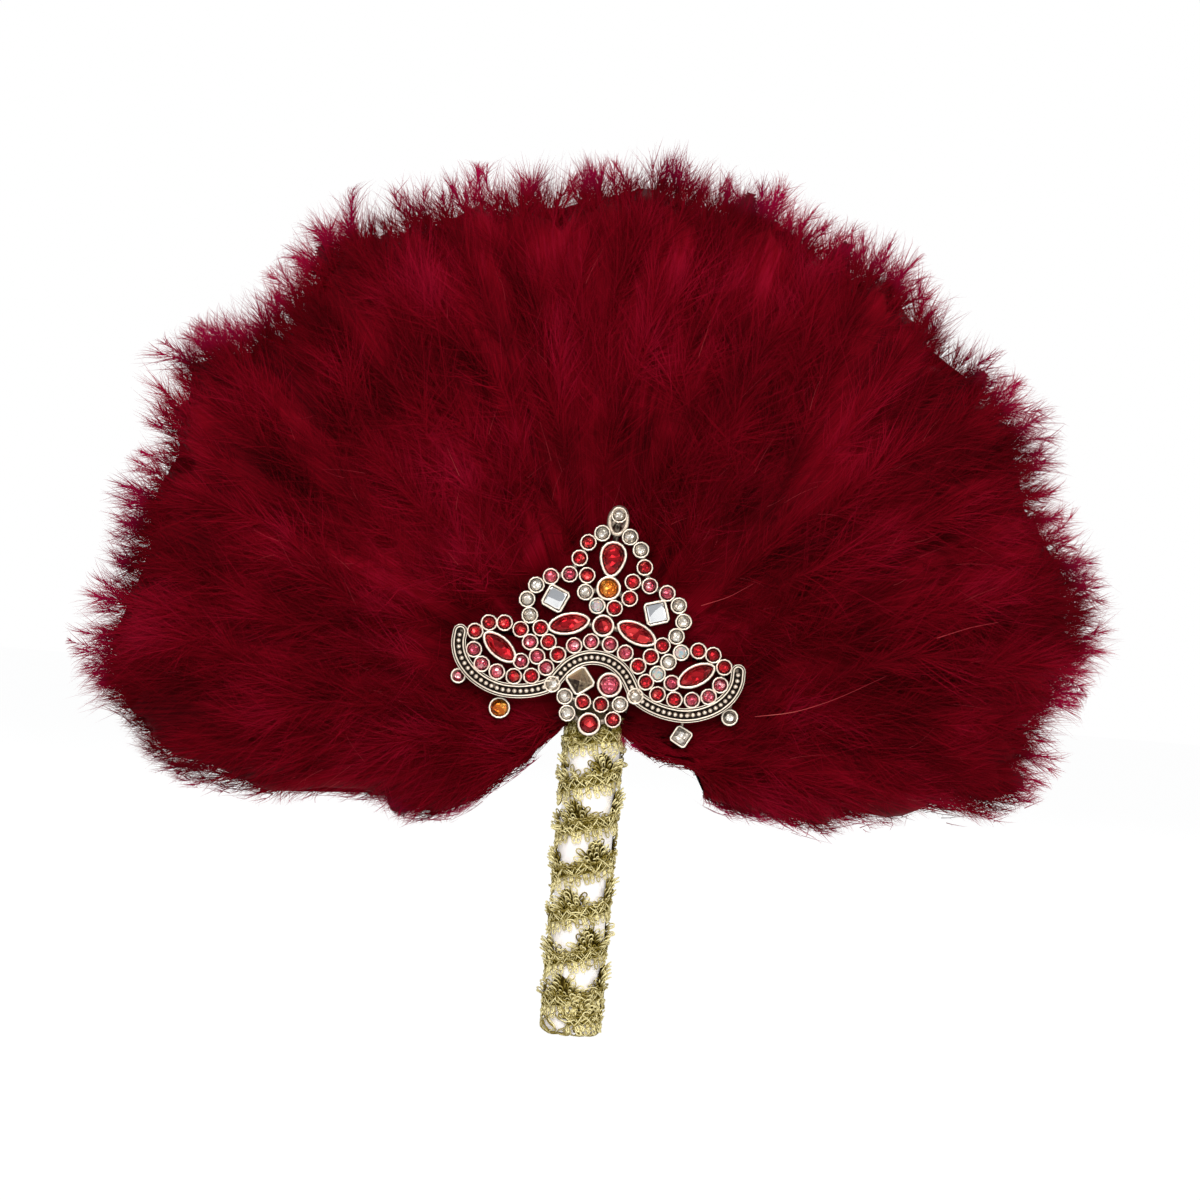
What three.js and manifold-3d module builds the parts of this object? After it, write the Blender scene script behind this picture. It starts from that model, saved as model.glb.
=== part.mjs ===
// Feather hand fan: dyed plumes round a card board, a wrapped wooden stick and a jewelled brooch.
// Millimetres, +Z up along the stick, the fan's front faces -Y, +X is to the right seen from the front.
// The origin is on the stick's axis, half way up the grip, where a hand holds it.
import * as THREE from 'three';
import { mergeVertices } from 'three/addons/utils/BufferGeometryUtils.js';
import Module from 'manifold-3d';

const wasm = await Module();
wasm.setup();

// Fits and fineness
const fitGap = 0.3;
const stoneGap = 0.15;
const weld = 1e-4;
const cutOverrun = 1;
const roundSides = 24;
const bezelSides = 8;
const stoneSides = 6;
const ovalSides = 14;
const rimSteps = 12;

// Stick and grip, from the wood outwards
const gripLength = 115;
const dowelRadius = 7.5;
const paddingWall = 1.6;
const satinWall = 1;
const laceWall = 1;
const buttThickness = 1.3;
const cheekThickness = 2.2;
const headAboveHub = 22;
const hubAboveGrip = 15;
const bindingWall = 1.6;
const bindingHeight = 6.5;

// Lace wound on the grip
const laceWidth = 12;
const lacePitch = 17;
const laceTurns = 6;
const laceSteps = 24;
const laceInset = 0.5;

// Board, feathers and plumes, as radii from the hub
const boardThickness = 2;
const boardRadius = 80;
const boardHalfAngle = 118;
const boardFoot = 4;
const tongueLength = 3;
const tongueHalfWidth = 7;
const fanRadius = 203;
const fanHalfAngle = 138;
const featherThickness = 1.2;
const quillWidth = 3;
const vaneHalfWidth = 26;
const rowThickness = 2.4;
const plumeGap = 0.5;
const innerRoot = 12;
const frontPuff = 31;
const innerPuff = 22;
const backPuff = 28;
const innerSwell = 34;
const patchRadius = 34;
const patchThickness = 1.5;
const patchLap = 6;
const featherCount = 9;
const frontCount = 9;
const innerCount = 5;
const backCount = 6;
const plumeColumns = 4;
const innerColumns = 6;

// Brooch, across and up from its centre stone
const broochHalfWidth = 54;
const broochRise = 29.2;
const broochAngle = 3.6;
const bedMargin = 2;
const frameThickness = 3.2;
const linkWidth = 2.2;
const bezelRadius = 3.5;
const bezelWall = 0.9;
const smallStoneRise = 0.8;
const bigBezelWall = 1.3;
const pocketDepth = 1.8;
const stoneRise = 1.4;
const rimWidth = 5.6;
const rimWall = 1.1;
const rimDepth = 1.5;
const loopRadius = 4.2;

// Stones with a node of their own
const centreStoneRadius = 3.4;
const amberStoneRadius = 3.8;
const pinkStoneRadius = 3.9;
const lowerStoneRadius = 3.5;
const teardropHalfWidth = 4.3;
const teardropHalfHeight = 6.1;
const marquiseHalfLength = 7.4;
const marquiseHalfWidth = 3.3;
const mirrorHalfSide = 3.5;
const studHalfSide = 3.6;
const studRise = 3.2;

// Drops that hang from the rim
const dropCup = 1.2;
const dropStone = 1;
const eyeRadius = 1.9;
const eyeHole = 1.1;
const pinRadius = 0.7;
const pinHeadRadius = 1.5;
const pinHead = 0.4;
const neckWidth = 1.4;
const dropWall = 0.8;

// Derived radii and heights of the grip
const gripTop = gripLength / 2;
const gripBottom = -gripTop;
const hubZ = gripTop + hubAboveGrip;
const paddingRadius = dowelRadius + fitGap + paddingWall;
const satinRadius = paddingRadius + fitGap + satinWall;
const laceInner = satinRadius + fitGap;
const laceRadius = laceInner + laceWall;
const buttTop = gripBottom + buttThickness;
const headHalf = boardThickness / 2 + fitGap + cheekThickness;
const bindingInner = Math.hypot(dowelRadius, headHalf) + fitGap;
const bindingRadius = bindingInner + bindingWall;
const bindingBottom = gripTop + fitGap;
const bindingTop = bindingBottom + bindingHeight;

// Derived depths, measured from the board's middle plane towards the front
const boardFace = boardThickness / 2;
const featherBack = boardFace + fitGap;
const featherFace = featherBack + featherThickness;
const rowBack = featherFace + fitGap;
const rowFace = rowBack + rowThickness;
const innerBack = Math.max(rowFace, headHalf) + fitGap;
const innerFace = innerBack + rowThickness;
const pinHeadFace = innerFace + fitGap + pinHead;
const dropBack = pinHeadFace + fitGap;
const dropFace = dropBack + dropCup;
const dropStoneFace = dropFace + dropStone;
const frameBack = Math.max(dropStoneFace, laceRadius, bindingRadius) + fitGap;
const frameFace = frameBack + frameThickness;
const padBack = innerFace + fitGap;
const padFace = frameBack - fitGap;
const backRowFace = boardFace + fitGap + rowThickness;
const patchBack = Math.max(backRowFace, headHalf) + fitGap;

// Derived radii and spans of the fan; both front rows share one set of angles
const innerHalfAngle = (fanHalfAngle * innerCount * innerColumns) / (frontCount * plumeColumns);
const rootRadius = Math.hypot(headAboveHub, dowelRadius) + 2 * fitGap;
const loopUpShare = 0.785;
const bedRadius = broochRise + loopUpShare * broochHalfWidth + loopRadius + bedMargin;
const shelfRadius = bedRadius + innerSwell;
const broochZ = hubZ + broochRise;

// How far the plumes reach, as a share of fanRadius, at angles from straight up, clockwise.
const reachShares = [
  [-138, 0.28], [-130, 0.41], [-120, 0.51], [-114, 0.56], [-106, 0.8], [-96, 0.93], [-80, 0.98],
  [-66, 1], [-56, 1.06], [-45, 1.01], [-32, 1.06], [-16, 1.02], [6, 1.04], [30, 1.02], [55, 0.99],
  [76, 0.98], [90, 0.87], [101, 0.81], [108, 0.63], [116, 0.53], [126, 0.38], [138, 0.25],
];
// How far each stiff feather reaches, as a share of the plumes' reach there.
const featherReachShares = [1.02, 0.96, 0.97, 0.96, 1.02, 0.97, 0.98, 0.96, 1.02];
// A stiff feather's outline: share of its length, share of its half width.
const vaneShares = [[0.2, 0.4], [0.36, 0.82], [0.6, 1], [0.8, 0.94], [0.92, 0.68], [0.98, 0.3]];
// The widest half of a short feather and where its quill opens into the vane, as shares of its length.
const slenderShare = 0.15;
const quillShare = 0.12;
const featherSpreadShare = 0.86;
// The swelling of a plume: share of the way from its thin root part to its tip, share of the puff.
const plumeShares = [[0.08, 0.5], [0.25, 0.92], [0.5, 1], [0.75, 0.78], [0.93, 0.36], [1, 0]];
const scallopShare = 0.045;
const crownShare = 0.25;
const shelfShare = 0.6;
const bedShare = 0.7;

// Small round stones on one half of the brooch: shares of broochHalfWidth across and up.
const smallStoneShares = [
  [0.1, 0.655], [0.19, 0.575], [0.235, 0.455], [0.29, 0.33],
  [0.42, 0.295], [0.515, 0.22], [0.565, 0.11], [0.53, 0],
  [0.165, 0.34], [0.16, 0.22], [0.063, 0.135],
  [0.44, -0.08], [0.37, -0.17], [0.29, -0.25], [0.185, -0.17], [0.068, -0.125],
  [0.5, -0.19], [0.435, -0.285], [0.36, -0.355],
  [0.58, -0.11], [0.7, -0.08], [0.81, -0.095], [0.9, -0.17],
  [0.89, -0.3], [0.82, -0.395], [0.705, -0.435], [0.58, -0.45], [0.455, -0.43],
  [0.545, -0.335], [0.3, -0.465],
  [0.2, -0.54], [0.065, -0.56], [0.165, -0.655],
];
// Runs of links under the bezels of one half, as shares of broochHalfWidth.
const linkShares = [
  [[0, 0.785], [0.1, 0.655], [0.19, 0.575], [0.235, 0.455], [0.29, 0.33], [0.42, 0.295],
    [0.515, 0.22], [0.565, 0.11], [0.53, 0], [0.44, -0.08], [0.37, -0.17], [0.29, -0.25],
    [0.185, -0.17], [0.068, -0.125], [0, -0.125]],
  [[0, 0.785], [0, 0.48]],
  [[0.29, 0.33], [0.165, 0.34], [0.16, 0.22], [0.063, 0.135], [0, 0]],
  [[0, 0.27], [0.16, 0.22]],
  [[0.42, 0.295], [0.365, 0.145]],
  [[0, 0], [0.245, -0.02], [0.44, -0.08]],
  [[0.53, 0], [0.58, -0.11], [0.5, -0.19], [0.435, -0.285], [0.36, -0.355], [0.3, -0.465]],
  [[0.58, -0.11], [0.7, -0.08], [0.81, -0.095], [0.9, -0.17], [0.89, -0.3], [0.82, -0.395],
    [0.705, -0.435], [0.58, -0.45], [0.455, -0.43], [0.36, -0.355]],
  [[0.455, -0.43], [0.545, -0.335], [0.71, -0.257]],
  [[0.9, -0.17], [1.005, -0.185]],
  [[0.705, -0.435], [0.7, -0.555]],
  [[0.3, -0.465], [0.2, -0.54], [0.065, -0.56], [0, -0.56]],
  [[0.2, -0.54], [0.165, -0.655], [0, -0.71]],
  [[0.065, -0.56], [0.106, -0.413], [0.2, -0.54]],
  [[0.29, -0.25], [0.25, -0.375]],
];
// The rim's middle line on one half, and the arch between the two halves.
const rimShares = [
  [1.005, -0.185], [1.01, -0.28], [0.965, -0.39], [0.86, -0.49], [0.7, -0.555], [0.54, -0.555],
  [0.4, -0.52], [0.3, -0.465],
];
const archShares = [
  [0.3, -0.465], [0.25, -0.375], [0.19, -0.3], [0.1, -0.245], [0, -0.228],
  [-0.1, -0.245], [-0.19, -0.3], [-0.25, -0.375], [-0.3, -0.465],
];
// Places of the larger stones.
const amberUpShare = 0.27;
const teardropUpShare = 0.48;
const innerMarquiseShare = [0.245, -0.02];
const wingMarquiseShare = [0.71, -0.257];
const mirrorShare = [0.365, 0.145];
const underArchShare = [0.106, -0.413];
const lowerUpShare = -0.71;
const innerMarquiseAngle = -18.5;
const wingMarquiseAngle = 34.5;
const leftMirrorAngle = 69;
const rightMirrorAngle = 20;
const studAngle = 40;
// The pad behind the brooch, one half from the top down.
const padShares = [
  [0.05, 0.7], [0.17, 0.56], [0.26, 0.32], [0.48, 0.22], [0.52, 0.02], [0.45, -0.14],
  [0.56, -0.16], [0.8, -0.14], [0.86, -0.26], [0.78, -0.37], [0.58, -0.42], [0.34, -0.4],
  [0.26, -0.5],
];
const padFootShare = -0.57;
const padFootMargin = 2;
const teardropPointShare = 0.28;
const marquisePower = 1.3;
const facetShare = 0.62;
const studTopShare = 0.08;

// Each drop: its side, its pin's place on the rim, its length below the pin and its radius or half side,
// all three as shares of broochHalfWidth, whether it is square, and its stone's colour.
const drops = [
  { name: 'left_outer', side: -1, pinShare: [0.985, -0.375], hangShare: 0.131, sizeShare: 0.059,
    square: false, color: 0xd8607a },
  { name: 'left_lower', side: -1, pinShare: [0.66, -0.56], hangShare: 0.13, sizeShare: 0.081,
    square: false, color: 0xe06a12 },
  { name: 'right_lower', side: 1, pinShare: [0.66, -0.56], hangShare: 0.148, sizeShare: 0.069,
    square: true, color: 0xe8eef0 },
  { name: 'right_outer', side: 1, pinShare: [0.985, -0.385], hangShare: 0.137, sizeShare: 0.065,
    square: false, color: 0xe9e4da },
];
const squareDropAngle = 29;

const plumeRed = 0x7a0a22;
const darkRed = 0x5c0718;
const antiqueGold = 0xcdb08a;
const glassRed = 0xc01020;

const degrees = THREE.MathUtils.degToRad;

// Finishes and meshes
function finish(color, roughness, metalness = 0) {
  return new THREE.MeshStandardMaterial({ color, roughness, metalness });
}

function piece(name, geometry, material) {
  const mesh = new THREE.Mesh(geometry, material);
  mesh.name = name;
  return mesh;
}

// A geometry with positions alone and its shared vertices merged.
function bare(geometry) {
  const plain = geometry.clone();
  plain.deleteAttribute('normal');
  plain.deleteAttribute('uv');
  return mergeVertices(plain, weld);
}

// Turns every face round when the closed shell faces inwards.
function outward(geometry) {
  const shell = bare(geometry);
  const points = shell.attributes.position;
  const index = shell.index.array;
  const a = new THREE.Vector3();
  const b = new THREE.Vector3();
  const c = new THREE.Vector3();
  let volume = 0;
  for (let face = 0; face < index.length; face += 3) {
    a.fromBufferAttribute(points, index[face]);
    b.fromBufferAttribute(points, index[face + 1]);
    c.fromBufferAttribute(points, index[face + 2]);
    volume += a.dot(b.cross(c));
  }
  if (volume < 0) {
    for (let face = 0; face < index.length; face += 3) {
      const kept = index[face + 1];
      index[face + 1] = index[face + 2];
      index[face + 2] = kept;
    }
  }
  shell.computeVertexNormals();
  return shell;
}

function solidOf(geometry) {
  const shell = bare(geometry);
  const vertProperties = new Float32Array(shell.attributes.position.array);
  const triVerts = new Uint32Array(shell.index.array);
  return new wasm.Manifold(new wasm.Mesh({ numProp: 3, vertProperties, triVerts }));
}

function geometryOf(solid) {
  const mesh = solid.getMesh();
  const geometry = new THREE.BufferGeometry();
  geometry.setAttribute('position', new THREE.BufferAttribute(mesh.vertProperties, 3));
  geometry.setIndex(new THREE.BufferAttribute(mesh.triVerts, 1));
  geometry.computeVertexNormals();
  return geometry;
}

function joined(geometries) {
  return geometries.map(solidOf).reduce((whole, next) => whole.add(next));
}

// A prism whose outline lies in the fan's plane, from one depth to another, the front being +depth.
function prism(points, back, face) {
  const shape = new THREE.Shape(points.map(([x, z]) => new THREE.Vector2(x, z)));
  const options = { depth: face - back, bevelEnabled: false };
  const geometry = new THREE.ExtrudeGeometry(shape, options);
  return geometry.translate(0, 0, back).rotateX(Math.PI / 2);
}

// A ring or disc round the Z axis from a profile of radius and height.
function turned(profile) {
  const points = profile.map(([radius, z]) => new THREE.Vector2(radius, z));
  return outward(new THREE.LatheGeometry(points, roundSides).rotateX(Math.PI / 2));
}

function sleeve(inner, outer, bottom, top) {
  return turned([[inner, bottom], [outer, bottom], [outer, top], [inner, top], [inner, bottom]]);
}

// A closed slab between two grids of points that share their rows and columns.
function slab(front, back, rows, columns) {
  const across = columns + 1;
  const second = front.length;
  const faces = [];
  const quad = (a, b, c, d) => faces.push(a, b, c, a, c, d);
  for (let row = 0; row < rows; row += 1) {
    for (let column = 0; column < columns; column += 1) {
      const a = row * across + column;
      const d = a + across;
      quad(a, a + 1, d + 1, d);
      quad(second + a, second + d, second + d + 1, second + a + 1);
    }
    const left = row * across;
    const right = left + columns;
    quad(left, left + across, second + left + across, second + left);
    quad(right + across, right, second + right, second + right + across);
  }
  for (let column = 0; column < columns; column += 1) {
    const root = column;
    const tip = rows * across + column;
    quad(root + 1, root, second + root, second + root + 1);
    quad(tip, tip + 1, second + tip + 1, second + tip);
  }
  const geometry = new THREE.BufferGeometry();
  geometry.setAttribute('position', new THREE.Float32BufferAttribute([...front, ...back].flat(), 3));
  geometry.setIndex(faces);
  return outward(geometry);
}

// Grip
function handleDowel() {
  const wood = finish(0xc79c66, 0.7);
  const shoulder = gripTop + cutOverrun;
  const length = shoulder - buttTop - fitGap;
  const round = new THREE.CylinderGeometry(dowelRadius, dowelRadius, length, roundSides);
  round.rotateX(Math.PI / 2).translate(0, 0, shoulder - length / 2);
  const headTop = hubZ + headAboveHub;
  const headLength = headTop - gripTop - fitGap;
  const head = new THREE.BoxGeometry(2 * dowelRadius, 2 * headHalf, headLength);
  head.translate(0, 0, headTop - headLength / 2);
  const slotBottom = hubZ - boardFoot - tongueLength - fitGap;
  const slotLength = headTop + cutOverrun - slotBottom;
  const slotWidth = boardThickness + 2 * fitGap;
  const slot = new THREE.BoxGeometry(2 * dowelRadius + 2 * cutOverrun, slotWidth, slotLength);
  slot.translate(0, 0, slotBottom + slotLength / 2);
  const shape = joined([round, head]).subtract(solidOf(slot));
  return piece('handle_dowel', geometryOf(shape), wood);
}

function gripSleeves() {
  const foam = finish(0xe9e2cf, 0.95);
  const satin = finish(0xf3efec, 0.35);
  const thread = finish(0xb9a25a, 0.6);
  const cover = [[0, gripBottom], [satinRadius, gripBottom], [satinRadius, buttTop], [0, buttTop]];
  const bottom = buttTop + fitGap;
  return [
    piece('handle_padding', sleeve(dowelRadius + fitGap, paddingRadius, bottom, gripTop), foam),
    piece('satin_wrap', sleeve(paddingRadius + fitGap, satinRadius, bottom, gripTop), satin),
    piece('butt_cover', turned(cover), satin),
    piece('neck_binding', sleeve(bindingInner, bindingRadius, bindingBottom, bindingTop), thread),
  ];
}

// The lace is one flat band that climbs in real turns, so its two ends stay open.
function laceTrim() {
  const steps = laceTurns * laceSteps;
  const start = gripBottom + laceInset + laceWidth / 2;
  const outer = [];
  const inner = [];
  for (let step = 0; step <= steps; step += 1) {
    const turn = (2 * Math.PI * step) / laceSteps;
    const middle = start + (lacePitch * step) / laceSteps;
    for (const edge of [-laceWidth / 2, laceWidth / 2]) {
      outer.push([laceRadius * Math.sin(turn), -laceRadius * Math.cos(turn), middle + edge]);
      inner.push([laceInner * Math.sin(turn), -laceInner * Math.cos(turn), middle + edge]);
    }
  }
  reportLaceGap(outer);
  return piece('lace_trim', slab(outer, inner, steps, 1), finish(0xb5a25c, 0.55, 0.3));
}

// Prints the least distance between the band's upper edge and the lower edge a turn above it.
function reportLaceGap(edges) {
  let least = Infinity;
  for (let step = 0; step + laceSteps < edges.length / 2; step += 1) {
    const upper = new THREE.Vector3(...edges[2 * step + 1]);
    const lower = new THREE.Vector3(...edges[2 * (step + laceSteps)]);
    least = Math.min(least, upper.distanceTo(lower));
  }
  console.log(`lace: least gap between turns ${least.toFixed(2)} mm`);
}

// The fan, in a group whose origin is the hub
function fanPoint(radius, angle) {
  return [radius * Math.sin(degrees(angle)), radius * Math.cos(degrees(angle))];
}

function reachAt(angle) {
  const last = reachShares.length - 1;
  const held = THREE.MathUtils.clamp(angle, reachShares[0][0], reachShares[last][0]);
  const next = Math.max(1, reachShares.findIndex(([knot]) => knot >= held));
  const [fromAngle, fromShare] = reachShares[next - 1];
  const [toAngle, toShare] = reachShares[next];
  const share = fromShare + ((toShare - fromShare) * (held - fromAngle)) / (toAngle - fromAngle);
  return share * fanRadius;
}

// Where the outer row starts to swell, and where the inner row does.
function shelfAt(angle) {
  return Math.min(shelfRadius, shelfShare * reachAt(angle));
}

// The inner row stays thin under the brooch and under its two lower drops.
function bedAt(angle) {
  const lowest = Math.max(...drops.slice(1, -1).map(dropReach)) + fitGap;
  return Math.min(bedRadius, Math.max(bedShare * shelfAt(angle), lowest));
}

// Where a drop's pin is, from the hub.
function pinPlace({ side, pinShare }) {
  const [across, up] = placed(pinShare, side);
  const tilt = degrees(broochAngle);
  return [
    across * Math.cos(tilt) + up * Math.sin(tilt),
    broochRise - across * Math.sin(tilt) + up * Math.cos(tilt),
  ];
}

// How far from the hub a drop's lower corner lies.
function dropReach(drop) {
  const [x, z] = pinPlace(drop);
  const size = drop.sizeShare * broochHalfWidth;
  return Math.hypot(x, z - drop.hangShare * broochHalfWidth) + Math.SQRT2 * size;
}

function fanBoard() {
  const points = [];
  for (let step = 0; step <= roundSides; step += 1) {
    points.push(fanPoint(boardRadius, boardHalfAngle - (2 * boardHalfAngle * step) / roundSides));
  }
  const foot = -boardFoot;
  points.push([-tongueHalfWidth, foot], [-tongueHalfWidth, foot - tongueLength]);
  points.push([tongueHalfWidth, foot - tongueLength], [tongueHalfWidth, foot]);
  return piece('fan_board', prism(points, -boardFace, boardFace), finish(0xd9cdb8, 0.9));
}

// A disc behind the plumes' roots, cut straight below where it clears the binding.
function backPatch() {
  const chord = bindingTop + fitGap - hubZ;
  const halfSpan = THREE.MathUtils.radToDeg(Math.acos(chord / patchRadius));
  const points = [];
  for (let step = 0; step <= roundSides; step += 1) {
    points.push(fanPoint(patchRadius, halfSpan - (2 * halfSpan * step) / roundSides));
  }
  return piece('back_patch', prism(points, -patchBack - patchThickness, -patchBack), finish(darkRed, 0.8));
}

// A stiff feather with a quill and a vane that stays inside its own wedge of the fan.
function baseFeather(number) {
  const spacing = (2 * featherSpreadShare * fanHalfAngle) / (featherCount - 1);
  const angle = spacing * (number - (featherCount - 1) / 2);
  const length = featherReachShares[number] * reachAt(angle) - rootRadius;
  const halfWidth = Math.min(vaneHalfWidth, slenderShare * length);
  const wedge = Math.tan(degrees(spacing / 2));
  const side = [[rootRadius, quillWidth / 2], [rootRadius + quillShare * length, quillWidth / 2]];
  for (const [along, across] of vaneShares) {
    const radius = rootRadius + along * length;
    const room = radius * wedge - plumeGap;
    side.push([radius, Math.min(across * halfWidth, room)]);
  }
  const right = side.map(([radius, half]) => [half, radius]);
  const left = side.map(([radius, half]) => [-half, radius]).reverse();
  const points = [...right, [0, rootRadius + length], ...left];
  const vane = prism(points, featherBack, featherFace);
  const feather = piece(`base_feather_${number + 1}`, vane, finish(darkRed, 0.75));
  feather.rotation.y = degrees(angle);
  return feather;
}

// One plume: thin from its root to where it swells, then puffed out to its tip.
function plume({ name, number, count, columns, span, side, root, bedOf, tipOf, flat, face, puff, room }) {
  const halfAngle = span / count;
  const centre = halfAngle * (2 * number + 1 - count);
  const rows = plumeShares.length + 1;
  const front = [];
  const back = [];
  for (let row = 0; row <= rows; row += 1) {
    for (let column = 0; column <= columns; column += 1) {
      const lean = (2 * column) / columns - 1;
      const angle = centre + lean * halfAngle;
      const tip = tipOf(angle) * (1 - scallopShare * Math.abs(lean) ** 3);
      const bed = bedOf(angle);
      const [along, swell] = row < 2 ? [0, 0] : plumeShares[row - 2];
      const radius = row === 0 ? root : bed + along * (tip - bed);
      const size = Math.min(1, (tip - bed) / room) * (1 - crownShare * lean * lean);
      const [x, z] = fanPoint(radius, angle);
      const inset = Math.abs(lean) === 1 ? (lean * plumeGap) / 2 : 0;
      const px = x - inset * Math.cos(degrees(angle));
      const pz = z + inset * Math.sin(degrees(angle));
      front.push([px, -side * (face + swell * size * (puff - face)), pz]);
      back.push([px, -side * flat, pz]);
    }
  }
  return piece(`${name}_${number + 1}`, slab(front, back, rows, columns), finish(plumeRed, 0.85));
}

function plumeRows() {
  const rows = [
    { name: 'front_plume', count: frontCount, columns: plumeColumns, span: fanHalfAngle, side: 1,
      root: rootRadius, bedOf: shelfAt, tipOf: reachAt, flat: rowBack, face: rowFace,
      puff: frontPuff, room: fanRadius - shelfRadius },
    { name: 'inner_plume', count: innerCount, columns: innerColumns, span: innerHalfAngle, side: 1,
      root: innerRoot, bedOf: bedAt, tipOf: (angle) => shelfAt(angle) - plumeGap, flat: innerBack,
      face: innerFace, puff: innerPuff, room: innerSwell },
    { name: 'back_plume', count: backCount, columns: innerColumns, span: fanHalfAngle, side: -1,
      root: rootRadius, bedOf: () => patchRadius + patchLap, tipOf: reachAt, flat: boardFace + fitGap,
      face: backRowFace, puff: backPuff, room: fanRadius - patchRadius },
  ];
  return rows.flatMap((row) => Array.from({ length: row.count }, (_, number) => plume({ ...row, number })));
}

// The brooch, in a group whose origin is its centre stone
function placed([across, up], side = 1) {
  return [side * across * broochHalfWidth, up * broochHalfWidth];
}

function circle([x, z], radius, sides) {
  return Array.from({ length: sides }, (_, corner) => {
    const turn = (2 * Math.PI * (corner + 0.5)) / sides;
    return [x + radius * Math.cos(turn), z + radius * Math.sin(turn)];
  });
}

function turnedOutline(points, [x, z], turn) {
  const cos = Math.cos(degrees(turn));
  const sin = Math.sin(degrees(turn));
  return points.map(([px, pz]) => [x + px * cos - pz * sin, z + px * sin + pz * cos]);
}

// An egg with its point down: the width leans towards the top.
function teardropOutline(halfWidth, halfHeight) {
  return Array.from({ length: ovalSides }, (_, corner) => {
    const turn = (2 * Math.PI * corner) / ovalSides;
    const lean = 1 + teardropPointShare * Math.sin(turn);
    return [halfWidth * Math.cos(turn) * lean, halfHeight * Math.sin(turn)];
  });
}

// A pointed oval: an ellipse whose width is drawn in near both ends.
function marquiseOutline(halfLength, halfWidth) {
  return Array.from({ length: ovalSides }, (_, corner) => {
    const turn = (2 * Math.PI * corner) / ovalSides;
    const sine = Math.sin(turn);
    return [halfLength * Math.cos(turn), halfWidth * Math.sign(sine) * Math.abs(sine) ** marquisePower];
  });
}

function squareOutline(halfSide) {
  return [[halfSide, -halfSide], [halfSide, halfSide], [-halfSide, halfSide], [-halfSide, -halfSide]];
}

// Every larger stone: its name, its outline grown by a margin, its place, its turn and its finish.
function bigStones() {
  const round = (radius) => (grow) => circle([0, 0], radius + grow, 2 * bezelSides);
  const teardrop = (grow) => teardropOutline(teardropHalfWidth + grow, teardropHalfHeight + grow);
  const marquise = (grow) => marquiseOutline(marquiseHalfLength + grow, marquiseHalfWidth + grow);
  const square = (halfSide) => (grow) => squareOutline(halfSide + grow);
  const red = finish(glassRed, 0.1);
  const mirror = finish(0xe6e9ec, 0.05, 0.9);
  return [
    { name: 'centre_stone', outline: round(centreStoneRadius), at: [0, 0], turn: 0, look: red },
    { name: 'amber_stone', outline: round(amberStoneRadius), at: placed([0, amberUpShare]), turn: 0,
      look: finish(0xd98a10, 0.1) },
    { name: 'teardrop_stone', outline: teardrop, at: placed([0, teardropUpShare]), turn: 0, look: red },
    { name: 'lower_stone', outline: round(lowerStoneRadius), at: placed([0, lowerUpShare]), turn: 0,
      look: red },
    { name: 'pink_stone', outline: round(pinkStoneRadius), at: placed(underArchShare), turn: 0,
      look: finish(0xc83a5c, 0.1) },
    { name: 'pyramid_stud', outline: square(studHalfSide), at: placed(underArchShare, -1), turn: studAngle,
      look: finish(0x8c7448, 0.3, 0.8), rise: studRise, top: studTopShare },
    { name: 'mirror_left', outline: square(mirrorHalfSide), at: placed(mirrorShare, -1),
      turn: leftMirrorAngle, look: mirror },
    { name: 'mirror_right', outline: square(mirrorHalfSide), at: placed(mirrorShare), turn: rightMirrorAngle,
      look: mirror },
    { name: 'marquise_left', outline: marquise, at: placed(innerMarquiseShare, -1), turn: -innerMarquiseAngle,
      look: red },
    { name: 'marquise_right', outline: marquise, at: placed(innerMarquiseShare), turn: innerMarquiseAngle,
      look: red },
    { name: 'wing_marquise_left', outline: marquise, at: placed(wingMarquiseShare, -1),
      turn: -wingMarquiseAngle, look: red },
    { name: 'wing_marquise_right', outline: marquise, at: placed(wingMarquiseShare),
      turn: wingMarquiseAngle, look: red },
  ];
}

// A stone with straight sides in its pocket and a tapered crown above the bezel.
function cutStone(points, centre, back, girdle, face, topShare) {
  const layers = [[back, 1], [girdle, 1], [face, topShare]];
  const corners = points.length;
  const positions = layers.flatMap(([depth, share]) => points.map(([x, z]) => [
    centre[0] + (x - centre[0]) * share, -depth, centre[1] + (z - centre[1]) * share,
  ]));
  const faces = [];
  for (let layer = 0; layer < 2; layer += 1) {
    for (let corner = 0; corner < corners; corner += 1) {
      const a = layer * corners + corner;
      const b = layer * corners + ((corner + 1) % corners);
      faces.push(a, b, b + corners, a, b + corners, a + corners);
    }
  }
  for (let corner = 1; corner + 1 < corners; corner += 1) {
    faces.push(0, corner + 1, corner);
    faces.push(2 * corners, 2 * corners + corner, 2 * corners + corner + 1);
  }
  const geometry = new THREE.BufferGeometry();
  geometry.setAttribute('position', new THREE.Float32BufferAttribute(positions.flat(), 3));
  geometry.setIndex(faces);
  return outward(geometry);
}

function bigStoneMeshes() {
  return bigStones().map(({ name, outline, at, turn, look, rise = stoneRise, top = facetShare }) => {
    const points = turnedOutline(outline(0), at, turn);
    const back = frameFace - pocketDepth + stoneGap;
    return piece(name, cutStone(points, at, back, frameFace, frameFace + rise, top), look);
  });
}

// Whether two bezels overlap whichever way their corners lie.
function bezelsMeet([ax, az], [bx, bz]) {
  return Math.hypot(bx - ax, bz - az) < 2 * bezelRadius * Math.cos(Math.PI / bezelSides);
}

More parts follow.
